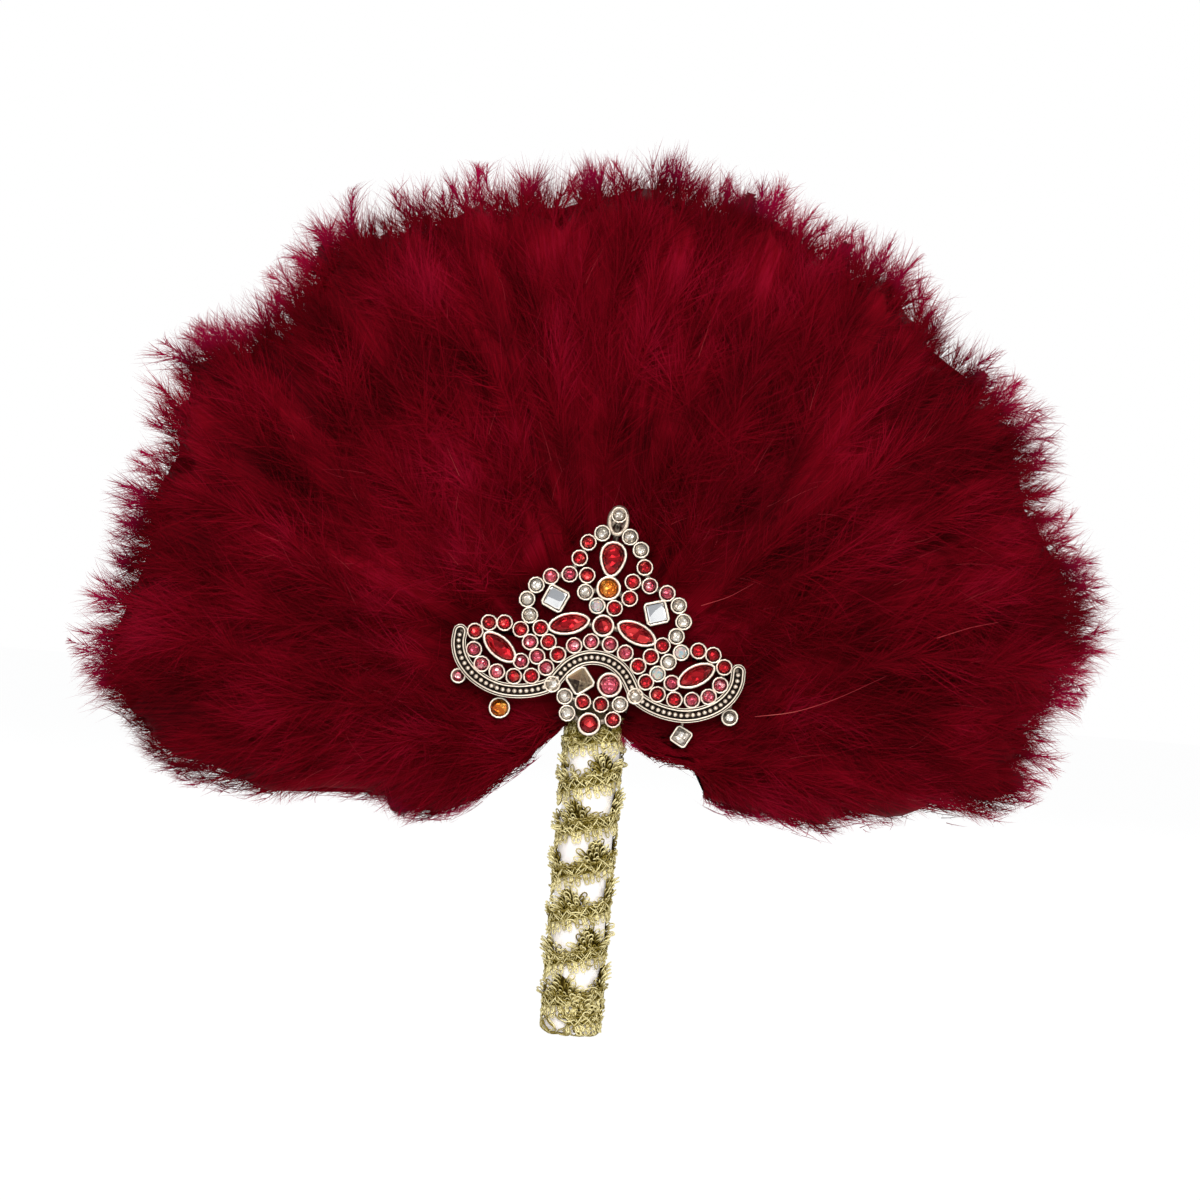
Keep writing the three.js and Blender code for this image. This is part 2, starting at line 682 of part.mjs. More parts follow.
// A straight bar of the lattice between two places.
function link([ax, az], [bx, bz]) {
  const length = Math.hypot(bx - ax, bz - az);
  const nx = (-(bz - az) / length) * (linkWidth / 2);
  const nz = ((bx - ax) / length) * (linkWidth / 2);
  const points = [[ax - nx, az - nz], [bx - nx, bz - nz], [bx + nx, bz + nz], [ax + nx, az + nz]];
  return prism(points, frameBack, frameFace);
}

// A strip of even width along a smooth line through the given places.
function strip(places, width, back, face) {
  const curve = new THREE.CatmullRomCurve3(places.map(([x, z]) => new THREE.Vector3(x, 0, z)));
  const near = [];
  const far = [];
  for (let step = 0; step <= rimSteps; step += 1) {
    const at = curve.getPointAt(step / rimSteps);
    const along = curve.getTangentAt(step / rimSteps);
    near.push([at.x - (along.z * width) / 2, at.z + (along.x * width) / 2]);
    far.push([at.x + (along.z * width) / 2, at.z - (along.x * width) / 2]);
  }
  return prism([...near, ...far.reverse()], back, face);
}

function rimRuns() {
  return [
    rimShares.map((share) => placed(share)),
    rimShares.map((share) => placed(share, -1)),
    archShares.map((share) => placed(share)),
  ];
}

// The small stone of a cup: it stands a little above the metal that holds it.
function smallStone(at) {
  const inner = bezelRadius - bezelWall;
  return prism(circle(at, inner, stoneSides), frameFace - fitGap, frameFace + smallStoneRise);
}

// The pin on the back of the rim that a drop's eye turns on, with the head that keeps it there.
function dropPin(at) {
  const stem = prism(circle(at, pinRadius, bezelSides), pinHeadFace - pinHead, frameBack + pinHead);
  const head = prism(circle(at, pinHeadRadius, bezelSides), pinHeadFace - pinHead, pinHeadFace);
  return [stem, head];
}

function broochFrame() {
  const smallPlaces = smallStoneShares.flatMap((share) => [placed(share), placed(share, -1)]);
  const loopAt = placed([0, loopUpShare]);
  const cups = smallPlaces.map((at) => prism(circle(at, bezelRadius, bezelSides), frameBack, frameFace));
  const loop = prism(circle(loopAt, loopRadius, 2 * bezelSides), frameBack, frameFace);
  const links = [1, -1].flatMap((side) => linkShares.flatMap((run) => {
    const places = run.map((share) => placed(share, side));
    const pairs = places.slice(1).map((place, number) => [places[number], place]);
    return pairs.filter(([from, to]) => !bezelsMeet(from, to)).map(([from, to]) => link(from, to));
  }));
  const bigCups = bigStones().map(({ outline, at, turn }) => (
    prism(turnedOutline(outline(stoneGap + bigBezelWall), at, turn), frameBack, frameFace)
  ));
  const rims = rimRuns().map((places) => strip(places, rimWidth, frameBack, frameFace));
  const channels = rimRuns().map((places) => (
    strip(places, rimWidth - 2 * rimWall, frameFace - rimDepth, frameFace + cutOverrun)
  ));
  const pockets = bigStones().map(({ outline, at, turn }) => (
    prism(turnedOutline(outline(stoneGap), at, turn), frameFace - pocketDepth, frameFace + cutOverrun)
  ));
  const stones = [...smallPlaces, loopAt].map(smallStone);
  const pins = drops.flatMap(({ pinShare, side }) => dropPin(placed(pinShare, side)));
  const rim = joined(rims).subtract(joined(channels));
  const metal = rim.add(joined([...cups, loop, ...links, ...bigCups]));
  const whole = metal.subtract(joined(pockets)).add(joined([...stones, ...pins]));
  return piece('brooch_frame', geometryOf(whole), finish(antiqueGold, 0.35, 0.85));
}

function broochPad() {
  const foot = Math.max(padFootShare * broochHalfWidth, bindingTop + padFootMargin - broochZ);
  const half = padShares.map((share) => placed(share));
  const other = padShares.map((share) => placed(share, -1)).reverse();
  const points = [...half, [0, foot], ...other].map(([x, z]) => [x, Math.max(z, foot)]);
  return piece('brooch_pad', prism(points, padBack, padFace), finish(darkRed, 0.9));
}

// A drop: an eye on the pin, a short neck, a cup and its stone, hanging straight down.
function dropMeshes(drop) {
  const { name, hangShare, sizeShare, square, color } = drop;
  const [x, z] = pinPlace(drop);
  const hang = hangShare * broochHalfWidth;
  const radius = sizeShare * broochHalfWidth;
  const centre = [0, -hang];
  const cupOf = (size) => (square
    ? turnedOutline(squareOutline(size), centre, squareDropAngle)
    : circle(centre, size, 2 * bezelSides));
  const eye = prism(circle([0, 0], eyeRadius, 2 * bezelSides), dropBack, dropFace);
  const hole = prism(circle([0, 0], eyeHole, 2 * bezelSides), dropBack - cutOverrun, dropFace + cutOverrun);
  const half = neckWidth / 2;
  const sides = [[half, -hang], [half, -eyeHole], [-half, -eyeHole], [-half, -hang]];
  const neck = prism(sides, dropBack, dropFace);
  const cup = prism(cupOf(radius), dropBack, dropFace);
  const shape = joined([eye, neck, cup]).subtract(solidOf(hole));
  const setting = piece(`drop_setting_${name}`, geometryOf(shape), finish(antiqueGold, 0.35, 0.85));
  const girdle = dropFace + stoneGap + dropStone / 2;
  const points = cupOf(radius - dropWall);
  const gem = cutStone(points, centre, dropFace + stoneGap, girdle, dropStoneFace, facetShare);
  const stone = piece(`drop_stone_${name}`, gem, finish(color, 0.1));
  const group = new THREE.Group();
  group.position.set(x, 0, hubZ + z);
  group.add(setting, stone);
  return group;
}

const fan = new THREE.Group();
fan.position.z = hubZ;
fan.add(fanBoard(), backPatch(), ...plumeRows());
for (let number = 0; number < featherCount; number += 1) {
  fan.add(baseFeather(number));
}

const brooch = new THREE.Group();
brooch.position.z = broochZ;
brooch.rotation.y = degrees(broochAngle);
brooch.add(broochFrame(), broochPad(), ...bigStoneMeshes());

const featherFan = new THREE.Group();
featherFan.add(handleDowel(), ...gripSleeves(), laceTrim(), fan, brooch, ...drops.map(dropMeshes));

export default featherFan;
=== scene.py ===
"""The looks of a feather hand fan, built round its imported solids.

Seen from the front, +X is to the right, +Z is up and the front faces -Y. Lengths are in
millimetres until a mesh is made, where METRES turns them into metres.
"""

import logging
import math
from collections.abc import Sequence
from dataclasses import dataclass, field
from enum import Enum

import bpy
import numpy as np
from mathutils import Matrix, Vector

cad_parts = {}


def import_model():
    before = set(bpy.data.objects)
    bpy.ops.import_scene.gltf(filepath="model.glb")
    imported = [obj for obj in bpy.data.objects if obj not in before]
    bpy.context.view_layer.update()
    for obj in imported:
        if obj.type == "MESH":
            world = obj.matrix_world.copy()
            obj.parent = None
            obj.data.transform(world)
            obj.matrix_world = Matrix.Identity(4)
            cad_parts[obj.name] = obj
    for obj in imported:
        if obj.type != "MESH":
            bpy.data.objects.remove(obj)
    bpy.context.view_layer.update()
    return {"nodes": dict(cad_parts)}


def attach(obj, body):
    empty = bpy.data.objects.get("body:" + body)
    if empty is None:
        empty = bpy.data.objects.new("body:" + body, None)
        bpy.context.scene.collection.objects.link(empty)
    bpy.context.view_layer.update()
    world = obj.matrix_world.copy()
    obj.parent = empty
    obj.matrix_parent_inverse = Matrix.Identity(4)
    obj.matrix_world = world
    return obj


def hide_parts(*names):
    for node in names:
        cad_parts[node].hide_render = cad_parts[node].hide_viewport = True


METRES = 0.001
ROOT_BODY = "fan_body"
FORWARD = np.array([0.0, -1.0, 0.0])
UPWARD = np.array([0.0, 0.0, 1.0])
HUB_Z = 72.5  # the height of the point that the feathers fan out from

logging.basicConfig(level=logging.INFO, format="%(message)s")
log = logging.getLogger("feather_fan")

Array = np.ndarray
Colour = tuple[float, float, float]
Place = tuple[float, float, float]
Material = bpy.types.Material
Finishes = dict[str, Material]
Rng = np.random.Generator
Table = Sequence[tuple[float, float]]


# Arrays and meshes

def unit(vectors: Array) -> Array:
    """Returns the vectors with each divided by its own length."""
    return vectors / np.maximum(np.linalg.norm(vectors, axis=-1, keepdims=True), 1e-12)


def full_turn(count: int) -> Array:
    """Returns this many angles, spaced evenly round a full turn."""
    return 2 * np.pi * np.arange(count) / count


def cylindrical(radius: Array | float, turn: Array, height: Array | float) -> Array:
    """Returns the points (radius sin turn, -radius cos turn, height), turn 0 being in front."""
    across = radius * np.sin(turn)
    return np.stack([across, -radius * np.cos(turn), np.broadcast_to(height, across.shape)], -1)


def standing(flat: Array, depth: float) -> Array:
    """Stands points of across and up at one depth, as points of space."""
    return np.stack([flat[..., 0], np.full(flat.shape[:-1], depth), flat[..., 1]], -1)


def looked_up(table: Table, at: Array, **ends: float) -> Array:
    """Reads a table of places and values anywhere, going straight between its entries."""
    places, values = np.array(table, float).T
    return np.interp(at, places, values, **ends)


def points_at(line: Array, marks: Array, at: Array) -> Array:
    """Returns the places on a line where its marks, one for each of its points, reach these."""
    return np.stack([np.interp(at, marks, column) for column in line.T], -1)


def arc_lengths(line: Array) -> Array:
    """Returns how far along a line each of its points lies."""
    return np.concatenate([[0.0], np.cumsum(np.linalg.norm(np.diff(line, axis=0), axis=1))])


def for_threads(values: Array, length: int, sides: int) -> Array:
    """Repeats one value a thread for the points of threads: all their rings, then their ends."""
    return np.concatenate([np.repeat(values, length * sides), np.repeat(values, 2)])


@dataclass
class Shell:
    """One mesh as whole arrays: points, quads, triangles and named values for each point."""

    points: Array
    quads: Array = field(default_factory=lambda: np.empty((0, 4), int))
    triangles: Array = field(default_factory=lambda: np.empty((0, 3), int))
    values: dict[str, Array] = field(default_factory=dict)

    def valued(self, **values: float | Array) -> "Shell":
        """Sets named values for all points and returns the shell.

        Args:
            values: For each name, one number or one number per point.

        Returns:
            The same shell.
        """
        for name, value in values.items():
            self.values[name] = np.broadcast_to(np.asarray(value, float), len(self.points)).copy()
        return self

    def outward(self) -> "Shell":
        """Turns every face round if the shell's volume comes out negative.

        The volume is the sum over triangles of a . (b x c), a quad counting as two triangles.

        Returns:
            The same shell, its faces pointing out.
        """
        corners = np.concatenate([self.triangles, self.quads[:, :3], self.quads[:, [0, 2, 3]]])
        a, b, c = (self.points[corners[:, side]] for side in range(3))
        if np.einsum("ij,ij->", a, np.cross(b, c)) < 0:
            self.quads = self.quads[:, ::-1]
            self.triangles = self.triangles[:, ::-1]
        return self


def joined(shells: Sequence[Shell]) -> Shell:
    """Puts several shells into one.

    Args:
        shells: The shells, each of which may lack some of the others' values.

    Returns:
        One shell with all points and faces. A value that a shell lacks is zero there.
    """
    starts = np.cumsum([0] + [len(shell.points) for shell in shells[:-1]])
    names = sorted({name for shell in shells for name in shell.values})
    return Shell(
        np.concatenate([shell.points for shell in shells]),
        np.concatenate([shell.quads + start for shell, start in zip(shells, starts)]),
        np.concatenate([shell.triangles + start for shell, start in zip(shells, starts)]),
        {
            name: np.concatenate([s.values.get(name, np.zeros(len(s.points))) for s in shells])
            for name in names
        },
    )


def grid_quads(rows: int, columns: int, around: bool = False) -> Array:
    """Lists the quads between neighbouring rows of a grid of points.

    Args:
        rows: Number of rows.
        columns: Number of points in a row.
        around: Whether each row closes on itself.

    Returns:
        One quad per cell, as point numbers counted row by row.
    """
    row = np.arange(rows - 1)[:, None] * columns
    column = np.arange(columns if around else columns - 1)[None, :]
    after = (column + 1) % columns
    cells = [row + column, row + after, row + columns + after, row + columns + column]
    return np.stack(cells, -1).reshape(-1, 4)


def closed_grid(points: Array) -> Shell:
    """Closes a grid whose rows run round a body, with a fan of triangles at each end.

    Args:
        points: Array of rows by columns by 3. Each row is a closed loop.

    Returns:
        A closed shell, facing out.
    """
    rows, columns, _ = points.shape
    flat = points.reshape(-1, 3)
    ends = np.stack([points[0].mean(0), points[-1].mean(0)])
    here = np.arange(columns)
    after = (here + 1) % columns
    last = (rows - 1) * columns
    first_pole = rows * columns
    start = np.stack([np.full(columns, first_pole), after, here], 1)
    end = np.stack([np.full(columns, first_pole + 1), last + here, last + after], 1)
    shell = Shell(
        np.concatenate([flat, ends]), grid_quads(rows, columns, True), np.concatenate([start, end])
    )
    return shell.outward()


def lathe(profile: Table, sides: int) -> Shell:
    """Turns a profile of radius and height round the Z axis.

    Args:
        profile: Radius and height of each ring, starting and ending anywhere.
        sides: Number of points in a ring.

    Returns:
        A closed shell, facing out.
    """
    radius, height = np.asarray(profile, float).T
    return closed_grid(cylindrical(radius[:, None], full_turn(sides), height[:, None]))


def threads(paths: Array, radius: float | Array, sides: int = 4, closed: bool = False,
            up: Array = FORWARD) -> Shell:
    """Carries a round section along many paths of equal count at once.

    Each point is its path's point plus radius times (cos turn . side + sin turn . top), side
    being square to the path and to up, and top square to both.

    Args:
        paths: Array of paths by points by 3.
        radius: One radius, or one for each path and point.
        sides: Number of points round the section.
        closed: Whether each path closes on itself. Otherwise its ends are closed by fans.
        up: A direction, or one for each path and point, that no path follows.

    Returns:
        One shell with every thread, with the value "along" from 0 to 1 on each.
    """
    count, length, _ = paths.shape
    ahead = unit(
        np.roll(paths, -1, 1) - np.roll(paths, 1, 1) if closed else np.gradient(paths, axis=1)
    )
    side = unit(np.cross(ahead, np.broadcast_to(up, paths.shape)))
    top = np.cross(side, ahead)
    turn = full_turn(sides)[:, None]
    ring = np.cos(turn) * side[:, :, None] + np.sin(turn) * top[:, :, None]
    size = np.broadcast_to(np.asarray(radius, float), (count, length))
    points = (paths[:, :, None] + size[:, :, None, None] * ring).reshape(-1, 3)
    one = grid_quads(length + 1 if closed else length, sides, True) % (length * sides)
    start = np.arange(count) * length * sides
    quads = (start[:, None, None] + one).reshape(-1, 4)
    along = np.repeat(np.tile(np.linspace(0, 1, length), count), sides)
    if closed:
        return Shell(points, quads[:, ::-1]).valued(along=along)
    here = np.arange(sides)
    after = (here + 1) % sides
    last = (length - 1) * sides
    pole = len(points) + 2 * np.arange(count)[:, None]
    at = start[:, None]
    first_fan = np.stack([np.broadcast_to(pole, (count, sides)), at + here, at + after], -1)
    last_fan = np.stack(
        [np.broadcast_to(pole + 1, (count, sides)), at + last + after, at + last + here], -1
    )
    ends = paths[:, [0, -1]].reshape(-1, 3)
    shell = Shell(
        np.concatenate([points, ends]), quads[:, ::-1],
        np.concatenate([first_fan, last_fan], 1).reshape(-1, 3),
    )
    return shell.valued(along=np.concatenate([along, np.tile([0.0, 1.0], count)]))


def new_object(name: str, data: bpy.types.ID) -> bpy.types.Object:
    """Makes an object that holds this data, and links it to the scene."""
    made = bpy.data.objects.new(name, data)
    bpy.context.scene.collection.objects.link(made)
    return made


def make_piece(shell: Shell, name: str, material: Material, *,
               body: str = ROOT_BODY, replaces: Sequence[str] = (), smooth: bool = True
               ) -> bpy.types.Object:
    """Makes a Blender object from a shell, dresses it and ties it to the frame.

    Args:
        shell: The mesh, in millimetres.
        name: The piece's name.
        material: Its finish.
        body: The body that it moves with.
        replaces: The nodes that it stands for.
        smooth: Whether its faces are shaded smooth.

    Returns:
        The new object, at the origin.
    """
    mesh = bpy.data.meshes.new(name)
    corners = np.concatenate([shell.quads.ravel(), shell.triangles.ravel()]).astype(np.int32)
    counts = np.concatenate([np.full(len(shell.quads), 4), np.full(len(shell.triangles), 3)])
    mesh.vertices.add(len(shell.points))
    mesh.vertices.foreach_set("co", (shell.points * METRES).astype(np.float32).ravel())
    mesh.loops.add(len(corners))
    mesh.loops.foreach_set("vertex_index", corners)
    mesh.polygons.add(len(counts))
    mesh.polygons.foreach_set("loop_start", (np.cumsum(counts) - counts).astype(np.int32))
    mesh.polygons.foreach_set("use_smooth", np.full(len(counts), smooth))
    for key, value in shell.values.items():
        layer = mesh.attributes.new(key, "FLOAT", "POINT")
        layer.data.foreach_set("value", value.astype(np.float32))
    mesh.update(calc_edges=True)
    mesh.validate()
    mesh.materials.append(material)
    piece = new_object(name, mesh)
    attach(piece, body)
    if replaces:
        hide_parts(*replaces)
    faces = len(shell.triangles) + 2 * len(shell.quads)
    log.info("%s: %d triangles on %s", name, faces, body)
    return piece


# Materials

@dataclass(frozen=True)
class Wire:
    """An output socket on which arithmetic adds Math nodes."""

    tree: "Tree"
    socket: bpy.types.NodeSocket

    def maths(self, operation: str, first: "Wire | float", second: "Wire | float" = 0.0) -> "Wire":
        """Returns the result of one Math node."""
        return self.tree.node("ShaderNodeMath", {"operation": operation}, {0: first, 1: second})

    def __add__(self, other: "Wire | float") -> "Wire":
        """Returns the sum."""
        return self.maths("ADD", self, other)

    def __sub__(self, other: "Wire | float") -> "Wire":
        """Returns the difference."""
        return self.maths("SUBTRACT", self, other)

    def __mul__(self, other: "Wire | float") -> "Wire":
        """Returns the product."""
        return self.maths("MULTIPLY", self, other)

    def __rsub__(self, other: float) -> "Wire":
        """Returns a number less this value."""
        return self.maths("SUBTRACT", other, self)

    def __pow__(self, other: float) -> "Wire":
        """Returns this value raised to a power."""
        return self.maths("POWER", self, other)

    __radd__ = __add__
    __rmul__ = __mul__


class Tree:
    """The node tree of one material or of the world, built node by node."""

    def __init__(self, name: str, world: bpy.types.World | None = None) -> None:
        """Starts an empty tree, in a new material of this name or in the world given."""
        self.owner = bpy.data.materials.new(name) if world is None else world
        self.owner.use_nodes = True
        self.nodes = self.owner.node_tree.nodes
        self.links = self.owner.node_tree.links
        self.nodes.clear()

    def node(self, kind: str, settings: dict | None = None, inputs: dict | None = None,
             output: int | str = 0) -> Wire:
        """Adds one node.

        Args:
            kind: The node's type.
            settings: Its own settings, set first. "stops" gives a ramp's places and colours.
            inputs: A number, colour or wire for each named or numbered socket.
            output: The socket to return.

        Returns:
            The chosen output.
        """
        made = self.nodes.new(kind)
        for key, value in (settings or {}).items():
            if key == "stops":
                self._set_stops(made.color_ramp.elements, value)
            else:
                setattr(made, key, value)
        for key, value in (inputs or {}).items():
            if isinstance(value, Wire):
                self.links.new(value.socket, made.inputs[key])
            else:
                made.inputs[key].default_value = value
        return Wire(self, made.outputs[output] if len(made.outputs) else None)

    @staticmethod
    def _set_stops(elements: bpy.types.ColorRampElements, stops: Sequence[tuple[float, Colour]]) -> None:
        """Gives a colour ramp these places and colours, in order."""
        while len(elements) < len(stops):
            elements.new(1.0)
        for element, (place, colour) in zip(elements, stops):
            element.position = place
            element.color = (*colour, 1.0)

    def value(self, name: str) -> Wire:
        """Returns a value that the mesh holds for each point."""
        return self.node("ShaderNodeAttribute", {"attribute_name": name}, output="Fac")

    def ray(self, kind: str) -> Wire:
        """Returns 1 on rays of this kind, such as Camera, and 0 on others."""
        return self.node("ShaderNodeLightPath", output=f"Is {kind} Ray")

    def places(self, scale: Place = (1.0, 1.0, 1.0)) -> Wire:
        """Returns object coordinates, stretched by a scale along each axis."""
        start = self.node("ShaderNodeTexCoord", output="Object")
        return self.node("ShaderNodeMapping", inputs={"Vector": start, "Scale": scale})

    def noise(self, scale: float, detail: float = 3.0, vector: Wire | None = None) -> Wire:
        """Returns a soft noise from 0 to 1, scale being in cells per metre."""
        where = vector or self.places()
        return self.node(
            "ShaderNodeTexNoise", inputs={"Vector": where, "Scale": scale, "Detail": detail}
        )

    def ramp(self, factor: Wire, stops: Sequence[tuple[float, Colour]]) -> Wire:
        """Returns the colour that a ramp gives this value."""
        return self.node("ShaderNodeValToRGB", {"stops": stops}, {0: factor})

    def mix(self, factor: Wire | float, first: Wire | Colour, second: Wire | Colour) -> Wire:
        """Returns a colour between two, by this share of the second."""
        held = [x if isinstance(x, Wire) else (*x, 1.0) for x in (first, second)]
        return self.node(
            "ShaderNodeMix", {"data_type": "RGBA"},
            {"Factor": factor, 6: held[0], 7: held[1]}, output=2,
        )

    def bump(self, height: Wire, distance: float, strength: float = 1.0) -> Wire:
        """Returns a normal pushed out by this height, distance being in metres."""
        return self.node(
            "ShaderNodeBump",
            inputs={"Height": height, "Distance": distance, "Strength": strength},
        )

    def finish(self, **sockets: "Wire | float | Colour") -> Material:
        """Ends the tree in one Principled shader.

        Args:
            sockets: A value for each of its sockets, with _ for a space in its name.

        Returns:
            The finished material.
        """
        inputs = {
            key.replace("_", " "): (*value, 1.0) if isinstance(value, tuple) else value
            for key, value in sockets.items()
        }
        shader = self.node("ShaderNodeBsdfPrincipled", inputs=inputs)
        self.node("ShaderNodeOutputMaterial", inputs={"Surface": shader})
        return self.owner


@dataclass(frozen=True)
class FluffFinish:
    """Dyed down: dark at the roots, brighter and pinker towards the tips, the dark roots being painted
    shade deep in the down.
    """

    name: str
    root: Colour = (0.03, 0.0002, 0.001)
    middle: Colour = (0.137, 0.0007, 0.0043)
    tip: Colour = (0.29, 0.004, 0.021)
    glow: Colour = (0.16, 0.002, 0.032)

    def material(self) -> Material:
        """Mixes root to tip along each barb, shifted by the tuft's own tone; the dark root end is painted
        shade.

        Where the down is thin, light comes through it, which a faint glow stands for.

        Returns:
            The material, which reads the values along, tone, thin, turn, far and matted. The
            last three draw streaks that run outward on the dense down.
        """
        tree = Tree(self.name)
        patch = tree.noise(24.0, 2.0)
        lie = tree.node(
            "ShaderNodeCombineXYZ", inputs={"X": tree.value("turn"), "Y": tree.value("far") * 0.05}
        )
        streak = tree.noise(1.1, 5.0, lie)
        # along paints shade: darkest at the roots, deep in the down
        shade = tree.value("along") * 0.36 + tree.value("tone") * 0.36 + (patch - 0.5) * 1.05 + 0.06
        shade = shade + (streak - 0.5) * tree.value("matted")
        colour = tree.ramp(shade, [(0.0, self.root), (0.5, self.middle), (1.0, self.tip)])
        rough = tree.noise(900.0, 1.0) * 0.2 + 0.65
        return tree.finish(
            Base_Color=colour, Roughness=rough, Specular_IOR_Level=0.1,
            Specular_Tint=(1.0, 0.15, 0.25), Emission_Strength=1.0,
            Emission_Color=tree.mix(tree.value("thin"), (0.0, 0.0, 0.0), self.glow),
        )


@dataclass(frozen=True)
class VaneFinish:
    """A stiff dyed feather: fine slanting barbs on both sides of a paler quill."""

    name: str
    dark: Colour = (0.045, 0.0006, 0.003)
    light: Colour = (0.17, 0.0015, 0.01)
    barbs_per_metre: float = 1400.0

    def material(self) -> Material:
        """Draws the barbs as fine bands that run out and forward from the quill.

        Returns:
            The material, which reads the values along, across and tone.
        """
        tree = Tree(self.name)
        slant = tree.value("along") - tree.value("across") * 0.35
        fine = tree.node("ShaderNodeMath", {"operation": "SINE"}, {0: slant * self.barbs_per_metre})
        split = tree.noise(240.0, 4.0)
        shade = fine * 0.12 + split * 0.7 + tree.value("tone") * 0.3
        colour = tree.ramp(shade, [(0.15, self.dark), (0.85, self.light)])
        return tree.finish(
            Base_Color=colour, Roughness=0.5 + 0.2 * split, Specular_IOR_Level=0.15,
            Normal=tree.bump(fine, 0.00006, 0.6),
        )


@dataclass(frozen=True)
class ClothFinish:
    """A woven or felted cloth: a base colour, soft blotches and a fine texture."""

    name: str
    base: Colour
    shadow: Colour
    grain: float
    depth: float
    roughness: float
    sheen: float = 0.0

    def material(self) -> Material:
        """Adds blotches in the colour and a fine grain in the roughness and the relief."""
        tree = Tree(self.name)
        blotch = tree.noise(90.0, 3.0)
        grain = tree.noise(self.grain, 2.0)
        colour = tree.mix(blotch * 0.6 + grain * 0.3, self.base, self.shadow)
        return tree.finish(
            Base_Color=colour, Roughness=self.roughness + 0.15 * (grain - 0.5),
            Sheen_Weight=self.sheen, Normal=tree.bump(grain, self.depth, 0.8),
        )


@dataclass(frozen=True)
class SatinFinish:
    """White satin drawn tight round the grip, with fine threads along it and soft creases, painted darker
    in the creases as shade, and a faint painted glow.
    """

    name: str
    base: Colour = (0.95, 0.91, 0.88)
    crease_shade: Colour = (0.82, 0.77, 0.74)

    def material(self) -> Material:
        """Stretches one noise round the grip for creases and another along it for threads; the creases get
        painted shade as well as relief.
        """
        tree = Tree(self.name)
        creases = tree.noise(60.0, 2.0, tree.places((1.0, 1.0, 4.0)))
        weave = tree.noise(2600.0, 1.0, tree.places((1.0, 1.0, 0.12)))
        colour = tree.mix(creases * 0.5 + weave * 0.12, self.base, self.crease_shade)
        relief = creases * 0.8 + weave * 0.06
        return tree.finish(
            Base_Color=colour, Roughness=0.26 + 0.16 * weave, Sheen_Weight=0.3,
            # a faint glow in the satin's own colour: painted light that whitens it
            Emission_Color=colour, Emission_Strength=0.1,
            Normal=tree.bump(relief, 0.0008, 0.5),
        )


@dataclass(frozen=True)
class ThreadFinish:
    """Twisted thread with a metal glint, between two colours."""

    name: str
    pale: Colour
    deep: Colour
    # dark: the darkest stop, reached by dark thread and by the painted shade where thread lies low
    dark: Colour
    metallic: float = 0.5
    roughness: float = 0.45

    def material(self) -> Material:
        """Flecks the thread, and paints shade on it where it lies low among the others.

        Returns:
            The material, which reads the values tone and rise.
        """
        tree = Tree(self.name)
        fleck = tree.noise(1500.0, 2.0)
        # rise paints shade: the lower a thread lies among the others, the darker
        shade = tree.value("tone") * 0.8 + (fleck - 0.5) * 0.5 + 0.34 - tree.value("rise") * 0.42
        colour = tree.ramp(shade, [(0.0, self.pale), (0.55, self.deep), (1.0, self.dark)])
        return tree.finish(
            Base_Color=colour, Metallic=self.metallic, Roughness=self.roughness + 0.2 * fleck,
            Specular_IOR_Level=0.12, Specular_Tint=(1.0, 0.85, 0.5),
            Normal=tree.bump(fleck, 0.0002, 0.7),
        )


@dataclass(frozen=True)
class WoodFinish:
    """Plain turned hardwood with grain along the stick."""

    name: str
    light: Colour = (0.6, 0.4, 0.2)
    dark: Colour = (0.36, 0.21, 0.09)

    def material(self) -> Material:
        """Draws the grain as a noise pulled out along the stick."""
        tree = Tree(self.name)
        grain = tree.noise(420.0, 5.0, tree.places((1.0, 1.0, 0.06)))
        colour = tree.ramp(grain, [(0.3, self.light), (0.7, self.dark)])
        return tree.finish(
            Base_Color=colour, Roughness=0.55 + 0.2 * grain, Normal=tree.bump(grain, 0.0002, 0.5)
        )


@dataclass(frozen=True)
class MetalFinish:
    """Cast metal with worn edges, dark and patinated in its hollows; the same darkening paints shade on
    the bronze stud's facets.
    """

    name: str
    bright: Colour = (0.42, 0.31, 0.22)
    worn: Colour = (0.86, 0.75, 0.62)
    patina_and_shade: Colour = (0.022, 0.01, 0.006)

    def material(self) -> Material:
        """Darkens and dulls the metal where a noise and its value for patinated hollows and painted shade
        are high.

        Returns:
            The material, which reads the value for patinated hollows and painted shade, and the value
            pale.
        """
        tree = Tree(self.name)
        cast = tree.noise(700.0, 4.0)
        spots = tree.noise(2500.0, 2.0)
        dark = tree.node(
            "ShaderNodeMapRange", {"clamp": True},
            {"Value": tree.value("recess") + (cast - 0.5) * 1.15, "From Min": 0.2, "From Max": 0.75},
        )
        clean = tree.mix(spots * 0.9 + tree.value("pale"), self.bright, self.worn)
        colour = tree.mix(dark, clean, self.patina_and_shade)
        return tree.finish(
            Base_Color=colour, Metallic=0.95 - 0.45 * dark,
            Roughness=0.24 + 0.2 * cast + 0.3 * dark, Normal=tree.bump(spots, 0.00012, 0.7),
        )


